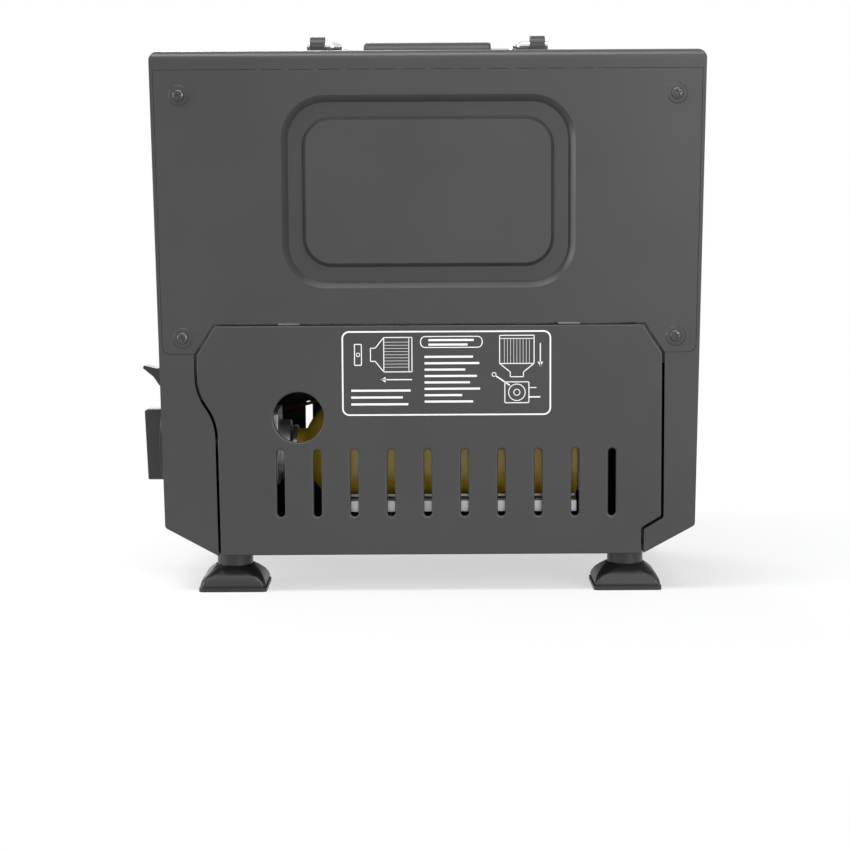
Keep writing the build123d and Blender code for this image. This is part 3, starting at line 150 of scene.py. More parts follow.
class SurfaceGroups:
    """Shader node groups that several finishes share."""

    FINE_DETAIL = 3.0
    BROAD_DETAIL = 4.0
    BROAD_SCALE = 14.0
    PATCH_SCALE = 22.0
    # Distance from a speck's middle, and noise, between which the wear fades in
    SPECK_RANGE = (0.09, 0.03)
    PATCH_RANGE = (0.56, 0.68)

    def __init__(self) -> None:
        """Builds the groups once."""
        self.texture = self._texture()
        self.wear = self._wear()

    def _texture(self) -> bpy.types.NodeTree:
        """Fine surface grain.

        Returns:
            A group with inputs Scale and Stretch, and outputs Height and Mask.
        """
        tree = bpy.data.node_groups.new("surface_grain", "ShaderNodeTree")
        socket(tree, "Scale", "NodeSocketFloat")
        socket(tree, "Stretch", "NodeSocketVector")
        socket(tree, "Height", "NodeSocketFloat", True)
        socket(tree, "Mask", "NodeSocketFloat", True)
        n, link = tree.nodes, tree.links.new
        given, out = n.new("NodeGroupInput"), n.new("NodeGroupOutput")
        place, scaled = n.new("ShaderNodeTexCoord"), n.new("ShaderNodeVectorMath")
        scaled.operation = "MULTIPLY"
        link(place.outputs["Object"], scaled.inputs[0])
        link(given.outputs["Stretch"], scaled.inputs[1])
        fine, broad = n.new("ShaderNodeTexNoise"), n.new("ShaderNodeTexNoise")
        fine.inputs["Detail"].default_value = self.FINE_DETAIL
        broad.inputs["Scale"].default_value = self.BROAD_SCALE
        broad.inputs["Detail"].default_value = self.BROAD_DETAIL
        link(scaled.outputs[0], fine.inputs["Vector"])
        link(given.outputs["Scale"], fine.inputs["Scale"])
        link(place.outputs["Object"], broad.inputs["Vector"])
        link(fine.outputs["Fac"], out.inputs["Height"])
        link(broad.outputs["Fac"], out.inputs["Mask"])
        return tree

    def _wear(self) -> bpy.types.NodeTree:
        """Sparse pale specks in patches.

        Returns:
            A group with inputs Scale and Amount, and the output Mask.
        """
        tree = bpy.data.node_groups.new("light_wear", "ShaderNodeTree")
        socket(tree, "Scale", "NodeSocketFloat")
        socket(tree, "Amount", "NodeSocketFloat")
        socket(tree, "Mask", "NodeSocketFloat", True)
        n, link = tree.nodes, tree.links.new
        given, out = n.new("NodeGroupInput"), n.new("NodeGroupOutput")
        place = n.new("ShaderNodeTexCoord")
        specks, patches = n.new("ShaderNodeTexVoronoi"), n.new("ShaderNodeTexNoise")
        link(place.outputs["Object"], specks.inputs["Vector"])
        link(given.outputs["Scale"], specks.inputs["Scale"])
        link(place.outputs["Object"], patches.inputs["Vector"])
        patches.inputs["Scale"].default_value = self.PATCH_SCALE
        dots, zones = n.new("ShaderNodeMapRange"), n.new("ShaderNodeMapRange")
        for node, (start, end) in ((dots, self.SPECK_RANGE), (zones, self.PATCH_RANGE)):
            node.inputs["From Min"].default_value = start
            node.inputs["From Max"].default_value = end
        link(specks.outputs["Distance"], dots.inputs["Value"])
        link(patches.outputs["Fac"], zones.inputs["Value"])
        both, scaled = n.new("ShaderNodeMath"), n.new("ShaderNodeMath")
        both.operation = scaled.operation = "MULTIPLY"
        link(dots.outputs["Result"], both.inputs[0])
        link(zones.outputs["Result"], both.inputs[1])
        link(both.outputs[0], scaled.inputs[0])
        link(given.outputs["Amount"], scaled.inputs[1])
        link(scaled.outputs[0], out.inputs["Mask"])
        return tree


@dataclass(frozen=True)
class Finish:
    """A surface finish: two tones, gloss, grain and wear.

    Attributes:
        name: The material's name.
        tone: The main colour.
        second: The colour that the main one drifts to.
        metallic: 0 for paint, plastic and ceramic, 1 for bare metal.
        rough: The lowest and highest roughness.
        grain: How the grain runs.
        grain_scale: Grains per metre.
        bump: Strength of the grain.
        wear: Strength of the pale specks.
        worn: The colour of the specks.
        coat: Weight of a clear coat.
    """

    name: str
    tone: Colour
    second: Colour
    metallic: float = 0.0
    rough: Point2 = (0.4, 0.5)
    grain: Grain = Grain.EVEN
    grain_scale: float = 2600.0
    bump: float = 0.05
    wear: float = 0.0
    worn: Colour = (0.3, 0.3, 0.3)
    coat: float = 0.0

    def material(self, groups: SurfaceGroups) -> bpy.types.Material:
        """Builds the material.

        Args:
            groups: The shared shader node groups.

        Returns:
            The finished material.
        """
        made = bpy.data.materials.new(self.name)
        made.use_nodes = True
        n, link = made.node_tree.nodes, made.node_tree.links.new
        shader = n["Principled BSDF"]
        grain = n.new("ShaderNodeGroup")
        grain.node_tree = groups.texture
        grain.inputs["Scale"].default_value = self.grain_scale
        grain.inputs["Stretch"].default_value = self.grain.value
        tones = n.new("ShaderNodeMix")
        tones.data_type = "RGBA"
        tones.inputs["A"].default_value = (*self.tone, 1.0)
        tones.inputs["B"].default_value = (*self.second, 1.0)
        link(grain.outputs["Mask"], tones.inputs["Factor"])
        colour = tones.outputs["Result"]
        if self.wear:
            wear = n.new("ShaderNodeGroup")
            wear.node_tree = groups.wear
            wear.inputs["Scale"].default_value = SPECKS_PER_METRE
            wear.inputs["Amount"].default_value = self.wear
            worn = n.new("ShaderNodeMix")
            worn.data_type = "RGBA"
            worn.inputs["B"].default_value = (*self.worn, 1.0)
            link(wear.outputs["Mask"], worn.inputs["Factor"])
            link(colour, worn.inputs["A"])
            colour = worn.outputs["Result"]
        link(colour, shader.inputs["Base Color"])
        gloss = n.new("ShaderNodeMapRange")
        gloss.inputs["From Min"].default_value, gloss.inputs["From Max"].default_value = GLOSS_MASK
        gloss.inputs["To Min"].default_value, gloss.inputs["To Max"].default_value = self.rough
        link(grain.outputs["Mask"], gloss.inputs["Value"])
        link(gloss.outputs["Result"], shader.inputs["Roughness"])
        bump = n.new("ShaderNodeBump")
        bump.inputs["Strength"].default_value = self.bump
        bump.inputs["Distance"].default_value = GRAIN_DEPTH
        link(grain.outputs["Height"], bump.inputs["Height"])
        link(bump.outputs["Normal"], shader.inputs["Normal"])
        shader.inputs["Metallic"].default_value = self.metallic
        if self.coat:
            shader.inputs["Coat Weight"].default_value = self.coat
            shader.inputs["Coat Roughness"].default_value = COAT_ROUGHNESS
        return made


FINISHES = {finish.name: finish for finish in (
    Finish("case_paint", (0.026, 0.026, 0.0265), (0.032, 0.032, 0.0325), rough=(0.34, 0.42), bump=0.16,
           wear=0.25, worn=(0.16, 0.16, 0.16)),
    Finish("knob_plastic", (0.017, 0.017, 0.0175), (0.022, 0.022, 0.0225), rough=(0.4, 0.5),
           grain_scale=1800.0, bump=0.2),
    Finish("foot_rubber", (0.006, 0.006, 0.006), (0.01, 0.01, 0.01), rough=(0.34, 0.5),
           grain_scale=1500.0, bump=0.3, wear=0.5, worn=(0.12, 0.12, 0.12)),
    Finish("foot_post", (0.01, 0.01, 0.0105), (0.014, 0.014, 0.0145), rough=(0.26, 0.36), bump=0.2),
    Finish("zinc_steel", (0.55, 0.56, 0.57), (0.46, 0.47, 0.49), metallic=1.0, rough=(0.24, 0.4),
           grain=Grain.BRUSHED, grain_scale=1500.0, bump=0.1, wear=0.2, worn=(0.3, 0.29, 0.27)),
    Finish("bright_steel", (0.72, 0.72, 0.73), (0.66, 0.66, 0.68), metallic=1.0, rough=(0.08, 0.16),
           grain=Grain.BRUSHED, grain_scale=1200.0, bump=0.04),
    Finish("can_paint", (0.86, 0.58, 0.04), (0.78, 0.49, 0.035), rough=(0.2, 0.32), bump=0.05,
           wear=0.4, worn=(0.25, 0.17, 0.05), coat=0.3),
    Finish("brass", (0.66, 0.47, 0.18), (0.56, 0.38, 0.15), metallic=1.0, rough=(0.22, 0.36),
           grain=Grain.BRUSHED, grain_scale=1400.0, bump=0.1),
    Finish("die_cast", (0.5, 0.51, 0.52), (0.42, 0.43, 0.44), metallic=1.0, rough=(0.38, 0.52),
           grain_scale=900.0, bump=0.3),
    Finish("ceramic", (0.74, 0.66, 0.56), (0.66, 0.57, 0.47), rough=(0.8, 0.9), grain_scale=1300.0,
           bump=0.5),
    Finish("gasket", (0.62, 0.6, 0.56), (0.5, 0.48, 0.44), rough=(0.85, 0.95), grain_scale=700.0,
           bump=0.8),
    Finish("seal_rubber", (0.02, 0.02, 0.02), (0.03, 0.03, 0.03), rough=(0.5, 0.6), bump=0.2),
    Finish("lead_skin", (0.32, 0.03, 0.02), (0.26, 0.025, 0.018), rough=(0.45, 0.55), bump=0.1),
    Finish("screw_black", (0.05, 0.05, 0.052), (0.08, 0.08, 0.082), metallic=0.7, rough=(0.22, 0.36),
           bump=0.12, wear=0.6, worn=(0.4, 0.4, 0.4)),
    Finish("print_white", (0.8, 0.8, 0.8), (0.72, 0.72, 0.72), rough=(0.45, 0.6), bump=0.1,
           wear=0.3, worn=(0.3, 0.3, 0.3)),
    # Flame ports: dark discs that paint the shade inside each port's hole
    Finish("port_painted_shade", (0.05, 0.04, 0.03), (0.08, 0.06, 0.045), rough=(0.9, 0.95), bump=0.2),
)}


class Workshop:
    """Holds the materials and turns shapes into finished pieces."""

    def __init__(self) -> None:
        """Builds the shared node groups and every finish."""
        groups = SurfaceGroups()
        self.materials = {name: finish.material(groups) for name, finish in FINISHES.items()}
        self.slots = {row["slot"] for row in frame["record"]["materials"]}

    def add(self, name: str, shape: bmesh.types.BMesh, finish: str, body: str) -> bpy.types.Object:
        """Makes a piece from a shape.

        Args:
            name: The piece's name.
            shape: The shape, which is freed.
            finish: A key of FINISHES.
            body: The CAD body that it rides on.

        Returns:
            The new object.
        """
        made = mesh_object(name, shape)
        made.data.materials.append(self.materials[finish])
        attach(made, body)
        LOG.info("made %s, %d faces", name, len(made.data.polygons))
        return made

    def dress_frame(self) -> None:
        """Gives every CAD node the material of its slot in the record."""
        for row in frame["record"]["subparts"]:
            node = frame["nodes"][row["node"]]
            for slot in node.material_slots:
                slot.material = self.materials[row["material_slot"]]
            LOG.info("dressed %s", row["node"])


@dataclass
class SoftEdges:
    """Replaces CAD nodes by copies whose edges are rounded, as pressed sheet and moulded parts are.

    Attributes:
        widths: The edge radius of each node in millimetres.
        angle: The smallest angle across a rounded edge, in degrees.
        segments: Faces across a rounded edge.
        weld: Distance below which corners are merged, in millimetres.
        flat: The largest angle between faces that are made one, in degrees.
    """

    widths: dict[str, float] = field(
        default_factory=lambda: {
            "cartridge_door": 0.35,
            "rear_cover": 0.35,
            "side_panel_left": 0.4,
            "side_panel_right": 0.4,
            "front_panel": 0.35,
            "lid": 0.5,
            "control_knob": 0.7,
            "lever_tab": 0.5,
            "foot_posts": 0.5,
            "foot_shoe_front_left": 0.45,
            "foot_shoe_front_right": 0.45,
            "foot_shoe_rear_left": 0.45,
            "foot_shoe_rear_right": 0.45,
            "handle_brackets": 0.6,
            "handle_grip": 0.4,
            "regulator_body": 0.6,
            "regulator_cap": 0.4,
            "cartridge_collar": 0.3,
            "control_shaft": 0.3,
            "piezo_igniter": 0.4,
        }
    )
    angle: float = 28.0
    segments: int = 3
    weld: float = 0.002
    flat: float = 0.6

    def build(self, shop: Workshop) -> None:
        """Builds the rounded copies.

        Args:
            shop: The workshop with the materials.
        """
        slots = {row["node"]: row["material_slot"] for row in frame["record"]["subparts"]}
        bodies = frame["record"]["behaviour"]["bodies"]
        homes = {node: body for body, nodes in bodies.items() for node in nodes}
        for node, width in self.widths.items():
            self._round(shop, node, width, slots[node], homes[node])

    def _round(self, shop: Workshop, node: str, width: float, finish: str, body: str) -> None:
        """Copies one node with rounded edges.

        Args:
            shop: The workshop with the materials.
            node: The CAD node.
            width: The edge radius in millimetres.
            finish: A key of FINISHES.
            body: The body that the node rides on.
        """
        shape = bmesh.new()
        shape.from_mesh(frame["nodes"][node].data)
        bmesh.ops.remove_doubles(shape, verts=shape.verts, dist=self.weld * MM)
        bmesh.ops.dissolve_limit(shape, angle_limit=math.radians(self.flat), verts=shape.verts,
                                 edges=shape.edges, use_dissolve_boundaries=False)
        for face in shape.faces:
            face.smooth = True
        rough = mesh_object(f"{node}_rough", shape)
        bevel = rough.modifiers.new("edges", "BEVEL")
        bevel.width = width * MM
        bevel.segments = self.segments
        bevel.limit_method = "ANGLE"
        bevel.angle_limit = math.radians(self.angle)
        bevel.use_clamp_overlap = True
        # Large flat faces keep their own normal, so that gloss runs evenly over them
        weighted = rough.modifiers.new("normals", "WEIGHTED_NORMAL")
        weighted.mode = "FACE_AREA"
        weighted.weight = 100
        weighted.keep_sharp = True
        made = bake_modifiers(rough, f"{node}_rounded")
        made.data.materials.clear()
        made.data.materials.append(shop.materials[finish])
        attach(made, body)
        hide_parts(node)
        LOG.info("rounded %s, %d faces", node, len(made.data.polygons))


@dataclass
class PrintedPanel:
    """The white diagram printed on the door: a frame, pictograms of a can and a valve, and ruled bars.

    All sizes are millimetres. Places count from the panel's centre, to the right and up, as seen from behind
    the heater.

    Attributes:
        width: Width of the printed frame.
        height: Height of the printed frame.
        centre: Its place to the right of the heater's middle and above the floor.
        ink: Thickness of the print.
        least_corner: The smallest radius inside a drawn corner.
        thin: Width of most drawn lines.
        bar: Width of a ruled bar.
        can: Half the width and half the height of a drawn can.
        neck: Half the width of its neck, and how far below the can the neck starts and ends.
        band: Height of the band at the can's closed end, and width of its line.
        shading: Distance between the can's shading lines, and their width.
        shades: Number of shading lines on each side of the middle one.
        arrow: Width of an arrow's line, length of its head, and the head's spread for its length.
        lying_can: Place of the can that lies down.
        can_socket: Place of the socket that it slides into.
        valve: Place of the valve.
        standing_can: Place of the can over the valve.
    """

    width: float = 133.8
    height: float = 54.3
    centre: Point2 = (11.0, 141.75)
    ink: float = 0.08
    least_corner: float = 0.05
    thin: float = 0.6
    bar: float = 1.35
    can: Point2 = (11.0, 9.0)
    neck: Point3 = (4.2, 5.5, 8.5)
    band: Point2 = (2.0, 0.45)
    shading: Point2 = (2.0, 0.22)
    shades: int = 4
    arrow: Point3 = (0.7, 3.0, 0.6)
    lying_can: Point2 = (-31.0, 12.0)
    can_socket: Point2 = (-56.5, 12.0)
    valve: Point2 = (45.0, -12.5)
    standing_can: Point2 = (45.0, 15.0)

    def __post_init__(self) -> None:
        """Starts the drawing on the door's face."""
        self.shape = bmesh.new()
        self.middle = body_middle()
        self.face_y = frame_back() + HAIR

    def _vertex(self, place: Point2, depth: float) -> bmesh.types.BMVert:
        """A vertex at a place on the panel, that far proud of the door in metres."""
        across, up = (place[0] + self.centre[0]) * MM, (place[1] + self.centre[1]) * MM
        return self.shape.verts.new((self.middle - across, self.face_y + depth, up))

    def _plate(self, points: list[Point2]) -> None:
        """Adds a filled outline of ink.

        Args:
            points: The outline's corners.
        """
        verts = [self._vertex(place, depth) for depth in (0.0, self.ink * MM) for place in points]
        count = len(points)
        self.shape.faces.new(verts[count:])
        self.shape.faces.new(verts[count - 1 :: -1])
        for i in range(count):
            j = (i + 1) % count
            self.shape.faces.new((verts[i], verts[j], verts[count + j], verts[count + i]))

    def _bar(self, a: Point2, b: Point2, width: float) -> None:
        """Adds a straight stroke.

        Args:
            a: Its start.
            b: Its end.
            width: Its width.
        """
        along = Vector((b[0] - a[0], b[1] - a[1])).normalized() * (width / 2)
        side = Vector((-along.y, along.x))
        self._plate([
            (a[0] + side.x, a[1] + side.y),
            (b[0] + side.x, b[1] + side.y),
            (b[0] - side.x, b[1] - side.y),
            (a[0] - side.x, a[1] - side.y),
        ])

    def _loop(self, points: list[Point2], inner: list[Point2]) -> None:
        """Adds a closed line between an outer and an inner outline.

        Args:
            points: The outer outline.
            inner: The inner outline, with as many points.
        """
        rows = []
        for outline in (points, inner):
            for depth in (0.0, self.ink * MM):
                rows.append([self._vertex(place, depth) for place in outline])
        outer_low, outer_high, inner_low, inner_high = rows
        for i in range(len(points)):
            j = (i + 1) % len(points)
            self.shape.faces.new((outer_high[i], outer_high[j], inner_high[j], inner_high[i]))
            self.shape.faces.new((outer_low[j], outer_low[i], inner_low[i], inner_low[j]))
            self.shape.faces.new((outer_low[i], outer_low[j], outer_high[j], outer_high[i]))
            self.shape.faces.new((inner_low[j], inner_low[i], inner_high[i], inner_high[j]))

    def _rounded(self, middle: Point2, size: Point2, corner: float, steps: int = 6) -> list[Point2]:
        """Corners of a rounded rectangle.

        Args:
            middle: Its centre.
            size: Its width and height.
            corner: Its corner radius.
            steps: Points on each corner.

        Returns:
            The outline's points.
        """
        points = []
        for k, (sx, sy) in enumerate(CORNERS):
            cx = middle[0] + sx * (size[0] / 2 - corner)
            cy = middle[1] + sy * (size[1] / 2 - corner)
            for s in range(steps + 1):
                turn = math.pi / 2 * (k + s / steps)
                points.append((cx + corner * math.cos(turn), cy + corner * math.sin(turn)))
        return points

    def _box(self, middle: Point2, size: Point2, corner: float, line: float) -> None:
        """Adds a rounded rectangle drawn with a line.

        Args:
            middle: Its centre.
            size: Its width and height.
            corner: Its corner radius.
            line: The line's width.
        """
        inside = (size[0] - 2 * line, size[1] - 2 * line)
        inner_corner = max(self.least_corner, corner - line)
        self._loop(self._rounded(middle, size, corner), self._rounded(middle, inside, inner_corner))

    def _ring(self, middle: Point2, radius: float, line: float) -> None:
        """Adds a circle drawn with a line of the given width."""
        self._box(middle, (2 * radius, 2 * radius), radius, line)

    def _bars(self, left: float, top: float, lengths: list[float], pitch: float) -> None:
        """Adds plain ruled bars, one under the other.

        Args:
            left: The bars' left end.
            top: Height of the first bar.
            lengths: The length of each bar.
            pitch: Distance from bar to bar.
        """
        for i, length in enumerate(lengths):
            level = top - i * pitch
            self._bar((left, level), (left + length, level), self.bar)

    def _can(self, middle: Point2, upright: bool) -> None:
        """Adds a can with its shoulder and neck, upright or lying.

        Args:
            middle: Centre of the can's body.
            upright: True for a can with its neck down, False for one that lies with its neck to the left.
        """

        def put(u: float, v: float) -> Point2:
            """Turns the can's own coordinates to the panel's."""
            return (middle[0] + u, middle[1] + v) if upright else (middle[0] + v, middle[1] + u)

        half, tall = self.can
        neck, shoulder, mouth = self.neck
        outline = [(-half, tall), (-half, -tall), (-neck, -tall - shoulder), (-neck, -tall - mouth),
                   (neck, -tall - mouth), (neck, -tall - shoulder), (half, -tall), (half, tall)]
        for a, b in zip(outline, outline[1:] + outline[:1]):
            self._bar(put(*a), put(*b), self.thin)
        self._bar(put(-half, -tall), put(half, -tall), self.thin)
        band, band_line = self.band
        self._bar(put(-half, tall - band), put(half, tall - band), band_line)
        pitch, shade_line = self.shading
        for i in range(-self.shades, self.shades + 1):
            self._bar(put(i * pitch, -tall), put(i * pitch, tall - band), shade_line)

    def _arrow(self, tail: Point2, tip: Point2) -> None:
        """Adds an arrow.

        Args:
            tail: Its blunt end.
            tip: Its point.
        """
        line, length, spread = self.arrow
        self._bar(tail, tip, line)
        back = (Vector(tail) - Vector(tip)).normalized() * length
        side = Vector((-back.y, back.x)) * spread
        end = Vector(tip)
        self._plate([tuple(end), tuple(end + back + side), tuple(end + back - side)])

    def _loading(self) -> None:
        """Draws a lying can that slides into its socket, with bars under it."""
        self._can(self.lying_can, upright=False)
        self._box(self.can_socket, (5.0, 14.0), 0.8, self.thin)
        self._ring(self.can_socket, 1.4, 0.5)
        self._arrow((-22.0, -4.0), (-42.0, -4.0))
        self._bars(-61.0, -11.0, [38.0, 33.0, 36.5], 4.4)

    def _column(self) -> None:
        """Draws the ruled bars in the middle, two of them in a frame."""
        self._box((3.2, 20.0), (40.0, 7.6), 3.4, self.thin)
        self._bars(-11.5, 21.2, [29.0, 25.0], 2.9)
        self._bars(-14.0, 10.5, [31.0, 35.0, 26.0, 33.5, 29.0, 35.5, 24.0, 31.0], 4.1)

    def _locking(self) -> None:
        """Draws a valve with its lever and pipes, under an upright can."""
        self._box(self.valve, (16.0, 14.0), 1.0, self.thin)
        self._ring(self.valve, 5.6, 0.55)
        self._ring(self.valve, 2.2, 0.5)
        self._bar((40.5, -8.0), (31.0, -1.5), 0.9)
        self._ring((30.4, -1.0), 1.5, 0.5)
        self._bar((53.0, -15.5), (60.0, -15.5), 0.9)
        self._bar((53.0, -9.5), (57.5, -9.5), self.thin)
        self._can(self.standing_can, upright=True)
        self._arrow((60.0, 19.0), (60.0, 4.0))

    def build(self, shop: Workshop) -> None:
        """Draws the panel.

        Args:
            shop: The workshop with the materials.
        """
        self._box((0, 0), (self.width, self.height), 4.7, 1.0)
        self._loading()
        self._column()
        self._locking()
        bmesh.ops.recalc_face_normals(self.shape, faces=self.shape.faces)
        shop.add("printed_panel", self.shape, "print_white", "door")


class Repeats:
    """Geometry Nodes trees for what repeats: screws, guard wires and flame ports."""

    PORT_SIDES = 8
    PORT_DEPTH = 0.1 * MM

    def _tree(self, name: str, sizes: list[tuple[str, str]]) -> tuple[bpy.types.NodeTree, dict[str, str]]:
        """Starts a tree with named inputs.

        Args:
            name: The tree's name.
            sizes: Name and socket type of each input.

        Returns:
            The tree and the identifier of each input.
        """
        tree = bpy.data.node_groups.new(name, "GeometryNodeTree")
        socket(tree, "Geometry", "NodeSocketGeometry")
        socket(tree, "Geometry", "NodeSocketGeometry", True)
        for label, kind in sizes:
            socket(tree, label, kind)
        names = {s.name: s.identifier for s in tree.interface.items_tree if s.in_out == "INPUT"}
        return tree, names

    def _finish(self, tree: bpy.types.NodeTree, geometry: bpy.types.NodeSocket,
                material: bpy.types.Material) -> None:
        """Ends a tree in Realize Instances and Set Material.

        Args:
            tree: The tree.
            geometry: The socket with the instances.
            material: The finish of the result.
        """
        n, link = tree.nodes, tree.links.new
        real, coat = n.new("GeometryNodeRealizeInstances"), n.new("GeometryNodeSetMaterial")
        out = n.new("NodeGroupOutput")
        coat.inputs["Material"].default_value = material
        link(geometry, real.inputs["Geometry"])
        link(real.outputs["Geometry"], coat.inputs["Geometry"])
        link(coat.outputs["Geometry"], out.inputs["Geometry"])

    def _run(self, tree: bpy.types.NodeTree, values: dict[str, object], name: str,
             points: list[Vector]) -> bpy.types.Object:
        """Runs a tree on a mesh of loose points and keeps the result as a plain mesh.

        Args:
            tree: The tree.
            values: Input values by socket identifier.
            name: The result's name.
            points: The mesh's points.

        Returns:
            The plain object.
        """
        mesh = bpy.data.meshes.new(name)
        mesh.from_pydata([tuple(p) for p in points], [], [])
        obj = link_object(f"{name}_source", mesh)
        modifier = obj.modifiers.new("repeat", "NODES")
        modifier.node_group = tree
        for key, value in values.items():
            modifier[key] = value
        return bake_modifiers(obj, name)

    def screws(self, shop: Workshop, name: str, places: list[Vector], turn: Point3,
               head: bpy.types.Object) -> bpy.types.Object:
        """Puts a screw head at each place.

        Args:
            shop: The workshop with the materials.
            name: The piece's name.
            places: Where the heads sit.
            turn: Rotation of every head, in radians.
            head: The head's object, pointing along +Z.

        Returns:
            The screws as one plain object.
        """
        tree, names = self._tree(name, [("Turn", "NodeSocketRotation"), ("Head", "NodeSocketObject")])
        n, link = tree.nodes, tree.links.new
        given, info = n.new("NodeGroupInput"), n.new("GeometryNodeObjectInfo")
        put = n.new("GeometryNodeInstanceOnPoints")
        link(given.outputs["Geometry"], put.inputs["Points"])
        link(given.outputs["Head"], info.inputs["Object"])
        link(info.outputs["Geometry"], put.inputs["Instance"])
        link(given.outputs["Turn"], put.inputs["Rotation"])
        self._finish(tree, put.outputs["Instances"], shop.materials["screw_black"])
        return self._run(tree, {names["Turn"]: turn, names["Head"]: head}, name, places)

    def wires(self, shop: Workshop, name: str, radius: float, start: Vector, end: Vector,
              step: Vector, count: int) -> bpy.types.Object:
        """Lays parallel round wires.

        Args:
            shop: The workshop with the materials.
            name: The piece's name.
            radius: A wire's radius in metres.
            start: Start of the first wire.
            end: End of the first wire.
            step: Offset from wire to wire.
            count: Number of wires.

        Returns:
            The wires as one plain object.
        """
        kinds = [("Start", "NodeSocketVector"), ("End", "NodeSocketVector"), ("Step", "NodeSocketVector"),
                 ("Count", "NodeSocketInt"), ("Radius", "NodeSocketFloat")]
        tree, names = self._tree(name, kinds)
        n, link = tree.nodes, tree.links.new
        given, line = n.new("NodeGroupInput"), n.new("GeometryNodeCurvePrimitiveLine")
        row, put = n.new("GeometryNodeMeshLine"), n.new("GeometryNodeInstanceOnPoints")
        real, tube = n.new("GeometryNodeRealizeInstances"), n.new("GeometryNodeCurveToMesh")
        ring = n.new("GeometryNodeCurvePrimitiveCircle")
        ring.inputs["Resolution"].default_value = WIRE_SIDES
        link(given.outputs["Start"], line.inputs["Start"])
        link(given.outputs["End"], line.inputs["End"])
        link(given.outputs["Count"], row.inputs["Count"])
        link(given.outputs["Step"], row.inputs["Offset"])
        link(row.outputs["Mesh"], put.inputs["Points"])
        link(line.outputs["Curve"], put.inputs["Instance"])
        link(put.outputs["Instances"], real.inputs["Geometry"])
        link(given.outputs["Radius"], ring.inputs["Radius"])
        link(real.outputs["Geometry"], tube.inputs["Curve"])
        link(ring.outputs["Curve"], tube.inputs["Profile Curve"])
        tube.inputs["Fill Caps"].default_value = True
        self._finish(tree, tube.outputs["Mesh"], shop.materials["bright_steel"])
        values = {names["Start"]: tuple(start), names["End"]: tuple(end), names["Step"]: tuple(step),
                  names["Count"]: count, names["Radius"]: radius}
        return self._run(tree, values, name, [Vector((0, 0, 0))])

    def ports(self, shop: Workshop, name: str, places: list[Vector], radius: float) -> bpy.types.Object:
        """Puts a dark disc at each flame port on a plaque's face; its dark is painted shade standing in for
        the port's hole.

        Args:
            shop: The workshop with the materials.
            name: The piece's name.
            places: The ports' centres.
            radius: A port's radius in metres.

        Returns:
            The ports as one plain object.
        """
        tree, names = self._tree(name, [("Radius", "NodeSocketFloat"), ("Turn", "NodeSocketRotation")])
        n, link = tree.nodes, tree.links.new
        given, disc = n.new("NodeGroupInput"), n.new("GeometryNodeMeshCylinder")
        put = n.new("GeometryNodeInstanceOnPoints")
        disc.inputs["Vertices"].default_value = self.PORT_SIDES
        disc.inputs["Depth"].default_value = self.PORT_DEPTH
        link(given.outputs["Radius"], disc.inputs["Radius"])
        link(given.outputs["Geometry"], put.inputs["Points"])
        link(given.outputs["Turn"], put.inputs["Rotation"])
        link(disc.outputs["Mesh"], put.inputs["Instance"])
        # The discs' dark is painted shade for the ports' holes
        self._finish(tree, put.outputs["Instances"], shop.materials["port_painted_shade"])
        values = {names["Radius"]: radius, names["Turn"]: (math.pi / 2, 0.0, 0.0)}
        return self._run(tree, values, name, places)


